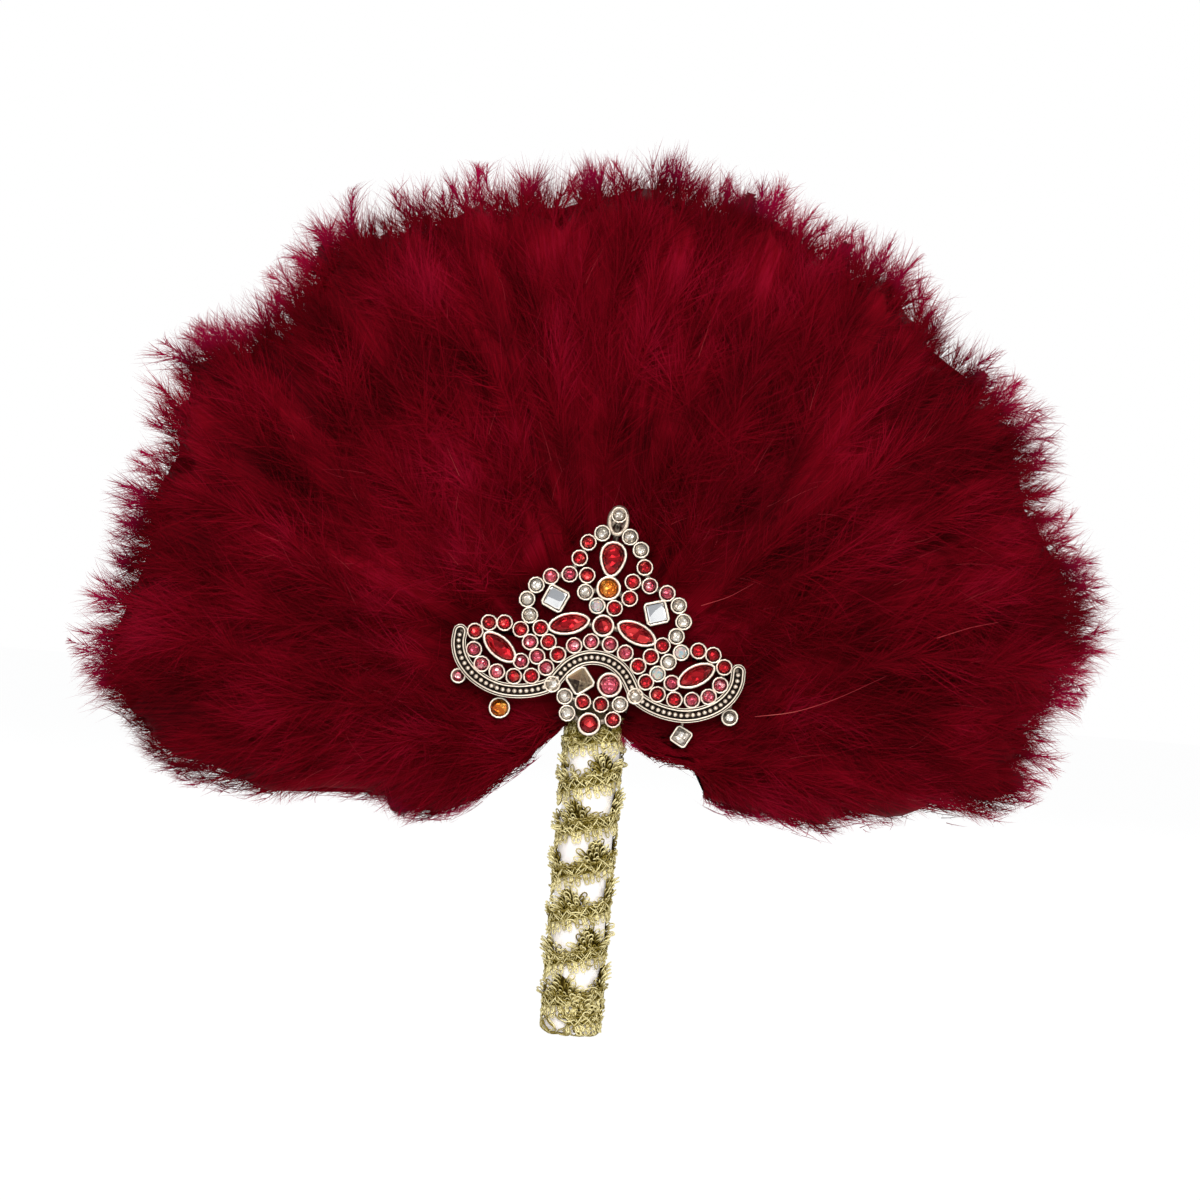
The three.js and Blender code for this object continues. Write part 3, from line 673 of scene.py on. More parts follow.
@dataclass(frozen=True)
class GlassStoneFinish:
    """A cut glass stone with a foil back, which throws its colour straight back."""

    name: str
    light: Colour
    deep: Colour
    glint: Colour
    metallic: float = 0.85
    roughness: float = 0.14
    facets: float = 620.0

    def material(self) -> Material:
        """Breaks the colour into small facets, lighter and darker as painted reflections, a few bright
        with a painted glint, under a clear hard coat.

        Returns:
            The material, which reads the value tone.
        """
        tree = Tree(self.name)
        cells = {"Vector": tree.places(), "Scale": self.facets}
        facet = tree.node("ShaderNodeTexVoronoi", inputs=cells, output="Color")
        edge = tree.node("ShaderNodeTexVoronoi", inputs=cells, output="Distance")
        # spark marks the facets that get a painted glint
        spark = tree.node("ShaderNodeMath", {"operation": "GREATER_THAN"}, {0: facet, 1: 0.72})
        shade = tree.node("ShaderNodeSeparateColor", inputs={"Color": facet}) * 1.1
        # the light and deep facets are painted reflections, shifted by the stone's own tone
        colour = tree.mix(shade * 0.75 + tree.value("tone") * 0.45, self.light, self.deep)
        colour = tree.mix(spark * 0.4, colour, self.glint)
        return tree.finish(
            Base_Color=colour, Metallic=self.metallic, Roughness=self.roughness + 0.1 * edge,
            Coat_Weight=0.25, Coat_Roughness=0.05, Normal=tree.bump(edge, 0.0009, 0.5),
        )


@dataclass(frozen=True)
class RainbowStoneFinish:
    """A clear stone with a coating that turns blue, green and pink across it."""

    name: str

    def material(self) -> Material:
        """Runs a noise over each stone through a ramp of pale spectral colours."""
        tree = Tree(self.name)
        film = tree.noise(650.0, 1.0)
        colour = tree.ramp(
            film,
            [(0.3, (0.75, 0.85, 0.8)), (0.42, (0.35, 0.6, 0.75)), (0.5, (0.85, 0.85, 0.6)),
             (0.58, (0.8, 0.55, 0.6)), (0.7, (0.85, 0.86, 0.84))],
        )
        return tree.finish(
            Base_Color=colour, Metallic=0.6, Roughness=0.06, Coat_Weight=1.0, Coat_Roughness=0.03
        )


def all_finishes() -> Finishes:
    """Builds every material of the fan once, and returns them by the names of their finishes."""
    finishes = (
        FluffFinish("dyed_down"),
        # brighter colours for the loose barbs, partly painted highlights
        FluffFinish("stray_barb", (0.2, 0.006, 0.016), (0.42, 0.05, 0.05), (0.75, 0.3, 0.22)),
        VaneFinish("dyed_vane"),
        ClothFinish("backing_felt", (0.13, 0.002, 0.009), (0.03, 0.0006, 0.002), 1800.0, 0.0008, 0.9),
        ClothFinish("grip_foam", (0.78, 0.74, 0.62), (0.6, 0.55, 0.42), 2200.0, 0.0004, 0.95),
        ClothFinish("grey_card", (0.62, 0.54, 0.43), (0.48, 0.4, 0.3), 1200.0, 0.0001, 0.9),
        SatinFinish("white_satin"),
        ThreadFinish("lace_thread", (0.92, 0.83, 0.45), (0.27, 0.2, 0.03), (0.028, 0.017, 0.0008)),
        WoodFinish("stick_wood"),
        MetalFinish("antique_metal"),
        MetalFinish("bronze_stud", (0.24, 0.17, 0.08), (0.66, 0.54, 0.38)),
        GlassStoneFinish(
            "large_red_glass", (0.52, 0.003, 0.01), (0.1, 0.0005, 0.002), (1.0, 0.07, 0.07), facets=300.0
        ),
        GlassStoneFinish("red_glass", (0.55, 0.004, 0.012), (0.15, 0.001, 0.003), (0.95, 0.12, 0.1)),
        GlassStoneFinish("pink_glass", (0.6, 0.1, 0.135), (0.27, 0.022, 0.042), (0.92, 0.52, 0.52)),
        GlassStoneFinish("clear_glass", (0.74, 0.69, 0.6), (0.3, 0.25, 0.2), (0.95, 0.93, 0.88), 0.7),
        RainbowStoneFinish("rainbow_glass"),
        GlassStoneFinish("amber_glass", (0.75, 0.2, 0.01), (0.32, 0.05, 0.002), (0.95, 0.5, 0.08)),
        GlassStoneFinish(
            "mirror_glass", (0.95, 0.96, 0.97), (0.88, 0.9, 0.91), (0.97, 0.97, 0.97), 1.0, 0.02, 90.0
        ),
    )
    return {finish.name: finish.material() for finish in finishes}


# Plumage

# How far the down reaches at an angle from straight up, as a share of its full reach.
OUTLINE_SHARES = [
    (-140, 0.1), (-135, 0.3), (-129, 0.42), (-120, 0.46), (-115, 0.53), (-110, 0.705), (-105, 0.835),
    (-100, 0.92), (-95, 0.975), (-90, 0.985), (-80, 0.975), (-70, 0.985), (-65, 0.985), (-59, 1.06),
    (-54, 1.06), (-48, 1.0), (-43, 1.005), (-35, 1.055), (-28, 1.055), (-20, 1.025), (-5, 1.02), (3, 1.05),
    (10, 1.03), (20, 1.015), (30, 1.025), (40, 1.0), (55, 0.995), (64, 0.955), (75, 0.995),
    (80, 0.97), (86, 0.9), (90, 0.88), (95, 0.865), (100, 0.85), (105, 0.71), (110, 0.555),
    (115, 0.53), (120, 0.405), (125, 0.35), (130, 0.245), (135, 0.12), (140, 0.08),
]
# Across and up from the hub along the down's lower edge.
LOWER_EDGE = [
    (-193, -14), (-185, -23), (-176, -36), (-168, -40), (-160, -45), (-144, -46), (-127, -50),
    (-120, -51.5), (-112, -48.5), (-105, -44.5), (-97, -45), (-89, -46.5), (-81, -48), (-73, -54),
    (-65, -50.5), (-57, -51.5), (-50, -48.5), (-42.5, -41.5), (-39, -38), (-24, -28), (-20.5, -19),
    (-15, -14), (0, -12), (10.5, -19), (15, -17.5), (26.5, -22), (41, -22), (43.5, -26), (44.5, -37),
    (59, -40), (75, -41), (83, -42), (91, -44), (99, -44), (106, -37.5), (114, -39), (122, -39.5),
    (129, -34.5), (137, -30), (145, -31.5), (153, -37), (160, -33), (167.5, -29), (174, -26),
    (184, -20), (192, -8),
]
# The radius where the down starts to swell, by angle from straight up.
BED_RADII = [(0, 78), (8, 74), (14, 60), (25, 53), (45, 53), (60, 57), (72, 66), (90, 64), (103, 52),
             (115, 44), (140, 20)]
# The down's height as a share of its puff, by the share of the way from bed to tip.
PUFF_SHARES = [(0, 0.25), (0.1, 0.56), (0.25, 0.9), (0.5, 1.0), (0.68, 0.93), (0.8, 0.78),
               (0.93, 0.46), (1.0, 0.17)]


@dataclass
class Tufts:
    """Small down feathers, one entry of each array for each."""

    angle: Array
    root: Array
    length: Array
    lean: Array
    curl: Array
    depth: Array
    barb: Array
    tone: Array
    barbs: Array

    def chosen(self, mask: Array) -> "Tufts":
        """Returns the tufts that the mask picks."""
        return Tufts(**{name: value[mask] for name, value in vars(self).items()})

    def __len__(self) -> int:
        """Returns how many tufts there are."""
        return len(self.angle)


@dataclass(frozen=True)
class Ring:
    """One ring of tufts round the fan: how far out their tips lie, and how many there are.

    Low and high bound their share of the down's height, and barbs is how many each bears.
    """

    tip_share: float
    count: int
    length: float
    low: float
    high: float
    barbs: int = 145
    barb: float = 24.0


@dataclass(frozen=True)
class Row:
    """One row of plumes that share a side of the board, -1 in front and +1 behind."""

    node: str
    count: int
    half_angle: float
    side: float


@dataclass
class Plumage:
    """The down of both sides, dressed plume by plume."""

    finishes: Finishes
    reach: float = 203.0
    seed: int = 11
    barb_rows: int = 5
    barb_width: float = 0.38
    barbule: float = 2.0
    edge_play: float = 1.2
    combed: float = 26.0
    room: float = 12.0
    core_share: float = 0.927
    fringe: float = 3.0
    fringe_room: float = 7.0
    front_puff: float = 32.0
    back_puff: float = 29.0
    thin: float = 7.2
    least: float = 2.5
    back_bed: float = 38.0
    shelf_share: float = 0.6
    front_shelf: float = 111.8
    front_slope: float = 91.2
    back_shelf: float = 40.0
    back_slope: float = 163.0
    tuft_angle: float = 133.0
    inner_roots: float = 78.0
    core_rows: int = 22
    core_columns: int = 25
    core_floor: float = 2.9
    core_shelf: float = 108.0
    drop_room: float = 7.5
    front_rings: tuple[Ring, ...] = (
        Ring(0.985, 370, 28, 0.0, 0.8, 66, 13), Ring(0.955, 270, 38, 0.2, 1.0, 80, 16),
        Ring(0.925, 100, 46, 0.6, 1.05, 130, 20), Ring(0.88, 68, 52, 0.8, 1.05),
        Ring(0.78, 50, 52, 0.86, 1.08), Ring(0.68, 42, 50, 0.9, 1.08), Ring(0.58, 34, 46, 0.9, 1.1),
        Ring(0.48, 28, 40, 0.88, 1.1), Ring(0.4, 22, 32, 0.75, 1.0), Ring(0.3, 14, 30, 0.5, 0.9),
    )
    back_rings: tuple[Ring, ...] = (
        Ring(0.97, 230, 32, 0.0, 0.8, 56, 16), Ring(0.9, 52, 54, 0.7, 1.0),
        Ring(0.77, 36, 56, 0.86, 1.06), Ring(0.62, 28, 54, 0.9, 1.06),
        Ring(0.46, 20, 50, 0.88, 1.08), Ring(0.33, 12, 40, 0.8, 1.0),
    )
    rows: tuple[Row, ...] = (
        Row("front_plume", 9, 138.0, -1.0),
        Row("inner_plume", 5, 115.0, -1.0),
        Row("back_plume", 6, 138.0, 1.0),
    )

    def reach_at(self, angle: Array) -> Array:
        """Returns how far the dense down reaches at an angle from straight up, in degrees."""
        return looked_up(OUTLINE_SHARES, angle) * self.reach

    def edge_at(self, across: Array) -> Array:
        """Returns how high above the hub the down's lower edge lies, beside the stick."""
        return looked_up(LOWER_EDGE, across, left=-400.0, right=-400.0)

    def bed_at(self, angle: Array) -> Array:
        """Returns the radius where the down starts to swell, just outside the brooch."""
        return looked_up(BED_RADII, np.abs(angle))

    def height(self, angle: Array, radius: Array, side: float) -> Array:
        """Gives how far the down stands off the board.

        Height is the puff times a profile of the way from bed to tip, changed a little by the
        locks. The puff is smaller where the down doesn't reach far.

        Args:
            angle: Degrees from straight up, clockwise from the front.
            radius: Distance from the hub.
            side: -1 in front of the board and +1 behind it.

        Returns:
            Heights, at least the thin part's.
        """
        front = side < 0
        reach = self.reach_at(angle)
        bed = self.bed_at(angle) if front else self.back_bed
        along = np.clip((radius - bed) / np.maximum(reach - bed, 1.0), 0, 1)
        shelf = np.minimum(self.front_shelf, self.shelf_share * reach) if front else self.back_shelf
        size = np.clip((reach - shelf) / (self.front_slope if front else self.back_slope), 0, 1)
        full = self.front_puff if front else self.back_puff
        puff = self.thin + (full - self.thin) * size
        swell = looked_up(PUFF_SHARES, along) * puff * (1 + 0.06 * self.lock(angle, radius))
        return np.where(along > 0, np.maximum(swell, self.least), self.thin)

    def lock(self, angle: Array, radius: Array) -> Array:
        """Gives lighter and darker locks, from about -1 to 1, the darker and lower ones partly painted
        shade.

        It is a sum of sines of the distance round and the distance out, each with waves some
        15 to 40 mm wide that run 60 to 200 mm outward.

        Args:
            angle: Degrees from straight up.
            radius: Distance from the hub.

        Returns:
            One value for each place.
        """
        around = np.radians(angle) * 140.0
        waves = [(0.17, 0.031, 0.4), (-0.23, 0.047, 1.9), (0.31, -0.038, 3.3), (-0.41, -0.06, 5.1),
                 (0.09, 0.07, 2.2), (0.52, 0.025, 0.9)]
        total = sum(np.sin(wide * around + long * radius + start) for wide, long, start in waves)
        return total / 3.0

    def painted_light_patch(self, angle: Array) -> Array:
        """Returns how much lighter the down is painted at an angle: a painted patch of light, a bell curve
        at the lower right.
        """
        return 0.34 * np.exp(-(((angle - 106) / 10) ** 2))

    def shaded(self, tone: Array | float, angle: Array, radius: Array) -> Array:
        """Returns a tone changed by the locks and the painted patch of light at these places."""
        return tone + 0.4 * self.lock(angle, radius) + self.painted_light_patch(angle)

    def lumps(self, angle: Array) -> Array:
        """Returns a small share, a sum of three sines of the angle, that waves the fan's edge."""
        return 0.012 * (np.sin(0.9 * angle) + np.sin(1.7 * angle + 1) + np.sin(0.37 * angle + 2))

    def sway(self, angle: Array) -> Array:
        """Returns how far the locks lean at an angle, in degrees, a sum of two sines of it."""
        return 11 * np.sin(0.11 * angle + 1) + 8 * np.sin(0.31 * angle)

    def spot(self, angle: Array, radius: Array) -> tuple[Array, Array]:
        """Returns across and up from the hub for an angle and a radius."""
        turn = np.radians(angle)
        return radius * np.sin(turn), radius * np.cos(turn)

    def polar(self, across: Array, up: Array) -> tuple[Array, Array]:
        """Returns the angle from straight up, in degrees, and the distance from the hub."""
        return np.degrees(np.arctan2(across, up)), np.hypot(across, up)

    def quill(self, tufts: Tufts, which: Array, along: Array, side: float) -> Array:
        """Gives points on the tufts' quills.

        In the fan's plane a quill is root + length (s . ahead + curl s s . aside); its depth is
        the tuft's share of the down's height there.

        Args:
            tufts: The tufts.
            which: The tuft of each point.
            along: The share of the way along its quill.
            side: -1 in front of the board and +1 behind it.

        Returns:
            One point for each entry.
        """
        across, up = self.spot(tufts.angle[which], tufts.root[which])
        turn = np.radians(tufts.angle[which] + tufts.lean[which])
        length = tufts.length[which]
        bend = tufts.curl[which] * along**2
        across = across + length * (along * np.sin(turn) + bend * np.cos(turn))
        up = up + length * (along * np.cos(turn) - bend * np.sin(turn))
        depth = tufts.depth[which] * self.height(*self.polar(across, up), side)
        return np.stack([across, side * depth, HUB_Z + up], -1)

    def tufts(self, rng: Rng, rings: Sequence[Ring]) -> Tufts:
        """Strews tufts ring by ring, evenly with some play.

        Args:
            rng: Where chance comes from.
            rings: The rings of one side.

        Returns:
            All tufts of that side.
        """
        found = []
        for ring in rings:
            step = 2 * self.tuft_angle / ring.count
            place = np.arange(ring.count) + rng.uniform(0.1, 0.9, ring.count)
            angle = -self.tuft_angle + step * place
            reach = self.reach_at(angle)
            length = ring.length * rng.uniform(0.85, 1.15, ring.count)
            play = rng.uniform(0.975, 1.01, ring.count) + 1.3 * self.lumps(angle)
            tip = ring.tip_share * reach * play
            length = np.minimum(length, 0.62 * tip)
            found.append(Tufts(
                angle, tip - length, length, self.sway(angle) + rng.normal(0, 13, ring.count),
                rng.normal(0, 0.18, ring.count), rng.uniform(ring.low, ring.high, ring.count),
                ring.barb * rng.uniform(0.8, 1.2, ring.count), rng.uniform(0, 1, ring.count),
                np.full(ring.count, ring.barbs),
            ))
        names = vars(found[0])
        return Tufts(**{name: np.concatenate([getattr(t, name) for t in found]) for name in names})

    def barbs(self, rng: Rng, tufts: Tufts, side: float) -> Shell:
        """Grows the barbs of some tufts, each a tapering ribbon with short barbules.

        A barb is base + length (t . start + t t . bend): start leaves the quill at an angle that
        closes towards the quill's tip, and bend draws it forward again. A barbule is one
        sliver from the ribbon's edge.

        Args:
            rng: Where chance comes from.
            tufts: The tufts.
            side: -1 in front of the board and +1 behind it.

        Returns:
            One shell, with the values along, tone and thin.
        """
        which = np.repeat(np.arange(len(tufts)), tufts.barbs)
        count = len(which)
        place = rng.beta(1.25, 0.95, count)
        base = self.quill(tufts, which, place, side)
        ahead = unit(self.quill(tufts, which, place + 0.03, side) - base)
        outward = np.array([0.0, side, 0.0])
        aside = unit(np.cross(ahead, outward))
        lift = np.cross(aside, ahead) * side
        low = np.clip(np.abs(base[:, 1:2]) / 20.0, 0.15, 1.0)
        turn = rng.uniform(0, 2 * np.pi, (count, 1))
        spread = np.radians(54 - 28 * place + rng.normal(0, 11, count))[:, None]
        out = np.cos(turn) * aside + 0.62 * low * np.sin(turn) * lift
        start = np.cos(spread) * ahead + np.sin(spread) * out
        profile = 0.42 + 0.58 * np.sin(np.pi * np.clip(0.15 + 0.8 * place, 0, 1))
        length = (tufts.barb[which] * profile * rng.uniform(0.5, 1.2, count))[:, None, None]
        bend = 0.35 * ahead + rng.normal(0, 0.24, (count, 3)) * np.array([1.0, 0.7, 1.0])
        t = np.linspace(0, 1, self.barb_rows)[None, :, None]
        line = base[:, None] + length * (t * start[:, None] + t**2 * bend[:, None])
        facing = outward + rng.normal(0, 0.55, (count, 3))
        across = unit(np.cross(start, facing))[:, None]
        width = self.barb_width * rng.uniform(0.6, 1.2, (count, 1, 1)) * (1 - 0.93 * t[:, :-1])
        left = line[:, :-1] - across * width / 2
        right = line[:, :-1] + across * width / 2
        tangent = unit(start[:, None] + 2 * t[:, 1:-1] * bend[:, None])
        inner = self.barb_rows - 2
        flip = np.where((np.arange(inner) + rng.integers(0, 2, (count, 1))) % 2, 1.0, -1.0)[..., None]
        short = self.barbule * rng.uniform(0.5, 1.2, (count, inner, 1)) * (1.1 - 0.6 * t[:, 1:-1])
        barbule = line[:, 1:-1] + short * unit(0.7 * tangent + flip * across)
        points = np.concatenate([left, right, line[:, -1:], barbule], 1)
        thin = self.tamed(points, side)
        angle, far = self.polar(base[:, 0], base[:, 2] - HUB_Z)
        tone = self.shaded(0.5 * tufts.tone[which] + 0.25, angle, far)
        spare = line[..., 2] - HUB_Z - self.edge_at(line[..., 0])
        play = self.edge_play * np.clip(np.abs(base[:, 0]) / 60, 0.1, 1.0)
        kept = spare.min(1) > -0.8 - rng.exponential(1.0, count) * play
        return self.ribbons(points[kept], tone[kept], thin[kept], rng)

    def tamed(self, points: Array, side: float) -> Array:
        """Presses in what stands too far off the board or past the fan's edge.

        What lies over a limit nears its room beyond it, by a hyperbolic tangent.

        Args:
            points: The points of many barbs, changed in place.
            side: -1 in front of the board and +1 behind it.

        Returns:
            For each point, from 0 in the dense down to 1 at the fan's edge.
        """
        over = np.maximum(side * points[..., 1] - self.combed, 0.0)
        points[..., 1] -= side * (over - self.room * np.tanh(over / self.room))
        across, up = points[..., 0], points[..., 2] - HUB_Z
        angle, far = self.polar(across, up)
        reach = self.reach_at(angle)
        over = np.maximum(far - reach - self.fringe * (1 + 0.8 * np.sin(0.5 * angle)), 0.0)
        pressed = over - self.fringe_room * np.tanh(over / self.fringe_room)
        points[..., 0] -= across / far * pressed
        points[..., 2] -= up / far * pressed
        self.clear_of_drops(points)
        return np.clip((far / reach - 0.95) / 0.06, 0, 1)

    def clear_of_drops(self, points: Array) -> None:
        """Lays down what would stand in a drop's way, so that each swings over the down.

        Round each pin, as far as its drop reaches, nothing stands out past drop_room. Beyond
        that the limit rises as a cone.

        Args:
            points: The points of many barbs, changed in place.
        """
        for drop in DROPS:
            away = np.hypot(points[..., 0] - drop.pivot[0], points[..., 2] - drop.pivot[1])
            limit = self.drop_room + 1.2 * np.maximum(away - drop.hang - drop.size - 3.5, 0)
            points[..., 1] = np.maximum(points[..., 1], -limit)

    def ribbons(self, points: Array, tone: Array, thin: Array, rng: Rng) -> Shell:
        """Joins the points of many barbs into faces.

        Args:
            points: For each barb: its left edge, right edge, tip and barbule tips.
            tone: The tone of each barb's tuft.
            thin: For each point, from 0 in the dense down to 1 at the fan's edge.
            rng: Where chance comes from.

        Returns:
            The shell.
        """
        count, each, _ = points.shape
        rows = self.barb_rows - 1
        cell = np.arange(rows - 1)
        quad = np.stack([cell, rows + cell, rows + cell + 1, cell + 1], 1)
        tip = np.array([[rows - 1, 2 * rows - 1, 2 * rows]])
        inner = np.arange(1, rows)
        barbule = np.stack([inner, rows + inner, 2 * rows + inner], 1)
        start = (np.arange(count) * each)[:, None, None]
        t = np.linspace(0, 1, self.barb_rows)
        along = np.concatenate([t[:-1], t[:-1], t[-1:], t[1:-1] + 0.15])
        shade = tone + rng.normal(0, 0.08, count)
        return Shell(
            points.reshape(-1, 3),
            (start + quad).reshape(-1, 4),
            (start + np.concatenate([tip, barbule])).reshape(-1, 3),
        ).valued(along=np.tile(along, count), tone=np.repeat(shade, each), thin=thin.reshape(-1))

    def core(self, low: float, high: float, inner: Array, outer: Array, side: float,
             sunk: float) -> Shell:
        """Makes the dense middle of one plume, a closed slab under the barbs.

        Args:
            low: Its lower angle.
            high: Its upper angle.
            inner: Radii of its inner edge at its columns.
            outer: Radii of its outer edge at its columns.
            side: -1 in front of the board and +1 behind it.
            sunk: How far its face lies under its neighbour's where the two overlap.

        Returns:
            A closed shell that streaks run outward on, by the values far, turn and matted.
        """
        radius = inner + (outer - inner) * np.linspace(0, 1, self.core_rows)[:, None]
        angle = np.broadcast_to(np.linspace(low, high, len(inner)), radius.shape)
        across, up = self.spot(angle, radius)
        margin = 3 + 7 * np.clip((np.abs(across) - 125) / 20, 0, 1)
        up = np.maximum(up, self.edge_at(across) + margin)
        floor = self.core_floor
        top = np.maximum(0.9 * self.height(angle, radius, side) - 1.0 - sunk, floor)
        way = np.linspace(0, 1, self.core_rows)
        edge = np.minimum(way, np.linspace(1, 0, self.core_rows) * 3)[:, None]
        top = floor + (top - floor) * np.clip(edge * 8, 0, 1)
        flat = np.interp(np.hypot(across, up), [86, 96], [2.7, -0.3])
        face, back = (np.stack([across, side * deep, HUB_Z + up], -1) for deep in (top, flat))
        shell = closed_grid(np.concatenate([face, back[:, ::-1]], 1))
        out, high = shell.points[:, 0], shell.points[:, 2] - HUB_Z
        angle, far = self.polar(out, high)
        # along 0.2 gives the core the painted shade of the barbs' roots
        return shell.valued(
            along=0.2, tone=self.shaded(0.5, angle, far), matted=1.1, far=far,
            turn=np.arctan2(out, high) * 150.0,
        )

    def build(self) -> None:
        """Dresses every plume of every row."""
        rng = np.random.default_rng(self.seed)
        front = self.tufts(rng, self.front_rings)
        back = self.tufts(rng, self.back_rings)
        outer = front.root > self.inner_roots
        tufts = {
            "front_plume": front.chosen(outer), "inner_plume": front.chosen(~outer), "back_plume": back,
        }
        for row in self.rows:
            self.build_row(row, tufts[row.node], rng)

    def build_row(self, row: Row, tufts: Tufts, rng: Rng) -> None:
        """Dresses the plumes of one row, each with a core and the tufts of its sector.

        Args:
            row: The row.
            tufts: All of its tufts.
            rng: Where chance comes from.
        """
        step = 2 * row.half_angle / row.count
        sector = np.clip((tufts.angle + row.half_angle) // step, 0, row.count - 1)
        for number in range(row.count):
            low = -row.half_angle + number * step
            angle = np.linspace(low, low + step, self.core_columns)
            reach = self.reach_at(angle)
            shelf = np.minimum(self.core_shelf, self.shelf_share * reach)
            edge = (self.core_share + self.lumps(angle)) * reach
            inner, outer, sunk = {
                "front_plume": (shelf - 20, edge, 0.0),
                "inner_plume": (np.full_like(angle, 13.0), shelf + 4, 0.4),
                "back_plume": (np.full_like(angle, 26.0), edge, 0.0),
            }[row.node]
            parts = [self.core(low, low + step, inner, outer, row.side, sunk)]
            mine = tufts.chosen(sector == number)
            if len(mine):
                parts.append(self.barbs(rng, mine, row.side))
            name = f"{row.node}_{number + 1}"
            make_piece(
                joined(parts), f"down_{name}", self.finishes["dyed_down"], replaces=[name]
            )


@dataclass
class StrayBarbs:
    """Long pale barbs that lie loose over the down, their paleness partly a painted highlight: a few
    placed ones and many fine ones.
    """

    finishes: Finishes
    plumage: Plumage
    thickness: float = 0.17
    fine_count: int = 100
    fine_thickness: float = 0.08
    fine_points: int = 14
    line_points: int = 24
    seed: int = 21
    lines: tuple[tuple[tuple[float, float, float], ...], ...] = (
        ((37, -19, 40), (47, -24, 44), (56, -27, 50)),
        ((61, -21.7, -0.8), (76, -27.7, 2), (92, -32, 9), (109, -34, 19)),
        ((127, -35.5, 35), (139, -36, 40), (150, -35, 43)),
    )

    @staticmethod
    def taper(thickness: float, count: int) -> Array:
        """Returns a barb's radii at this many points, smaller by 70% at its tip."""
        return (thickness * (1 - 0.7 * np.linspace(0, 1, count)))[None]

    def fine(self, rng: Rng) -> Shell:
        """Strews fine barbs on the front, each along a bent line just above the down."""
        count = self.fine_count
        strewn = Tufts(
            rng.uniform(-112, 112, count), rng.uniform(72, 165, count), rng.uniform(5, 17, count),
            rng.normal(0, 28, count), rng.normal(0, 0.15, count), rng.uniform(1.02, 1.12, count),
            np.zeros(count), np.zeros(count), np.zeros(count),
        )
        reach = self.plumage.reach_at(strewn.angle)
        strewn.length = np.minimum(strewn.length, np.maximum(0.93 * reach - strewn.root, 2.0))
        strewn.root = np.minimum(strewn.root, 0.8 * reach)
        rows = self.fine_points
        way = np.tile(np.linspace(0, 1, rows), count)
        lines = self.plumage.quill(strewn, np.repeat(np.arange(count), rows), way, -1.0)
        shell = threads(lines.reshape(count, rows, 3), self.taper(self.fine_thickness, rows), 3)
        return shell.valued(tone=for_threads(rng.uniform(-0.5, 0.4, count), rows, 3))

    def build(self) -> None:
        """Lays each placed one as a tapering thread through its points, given from the hub."""
        parts = []
        for line in self.lines:
            spots = np.array(line, float)
            at = np.linspace(0, len(spots) - 1, self.line_points)
            path = points_at(spots, np.arange(len(spots)), at)
            for _ in range(12):
                path[1:-1] = (path[:-2] + 2 * path[1:-1] + path[2:]) / 4
            path[:, 2] += HUB_Z
            taper = self.taper(self.thickness, self.line_points)
            parts.append(threads(path[None], taper, 5).valued(tone=0.45))
        parts.append(self.fine(np.random.default_rng(self.seed)))
        make_piece(joined(parts).valued(along=0.5), "stray_barbs", self.finishes["stray_barb"])


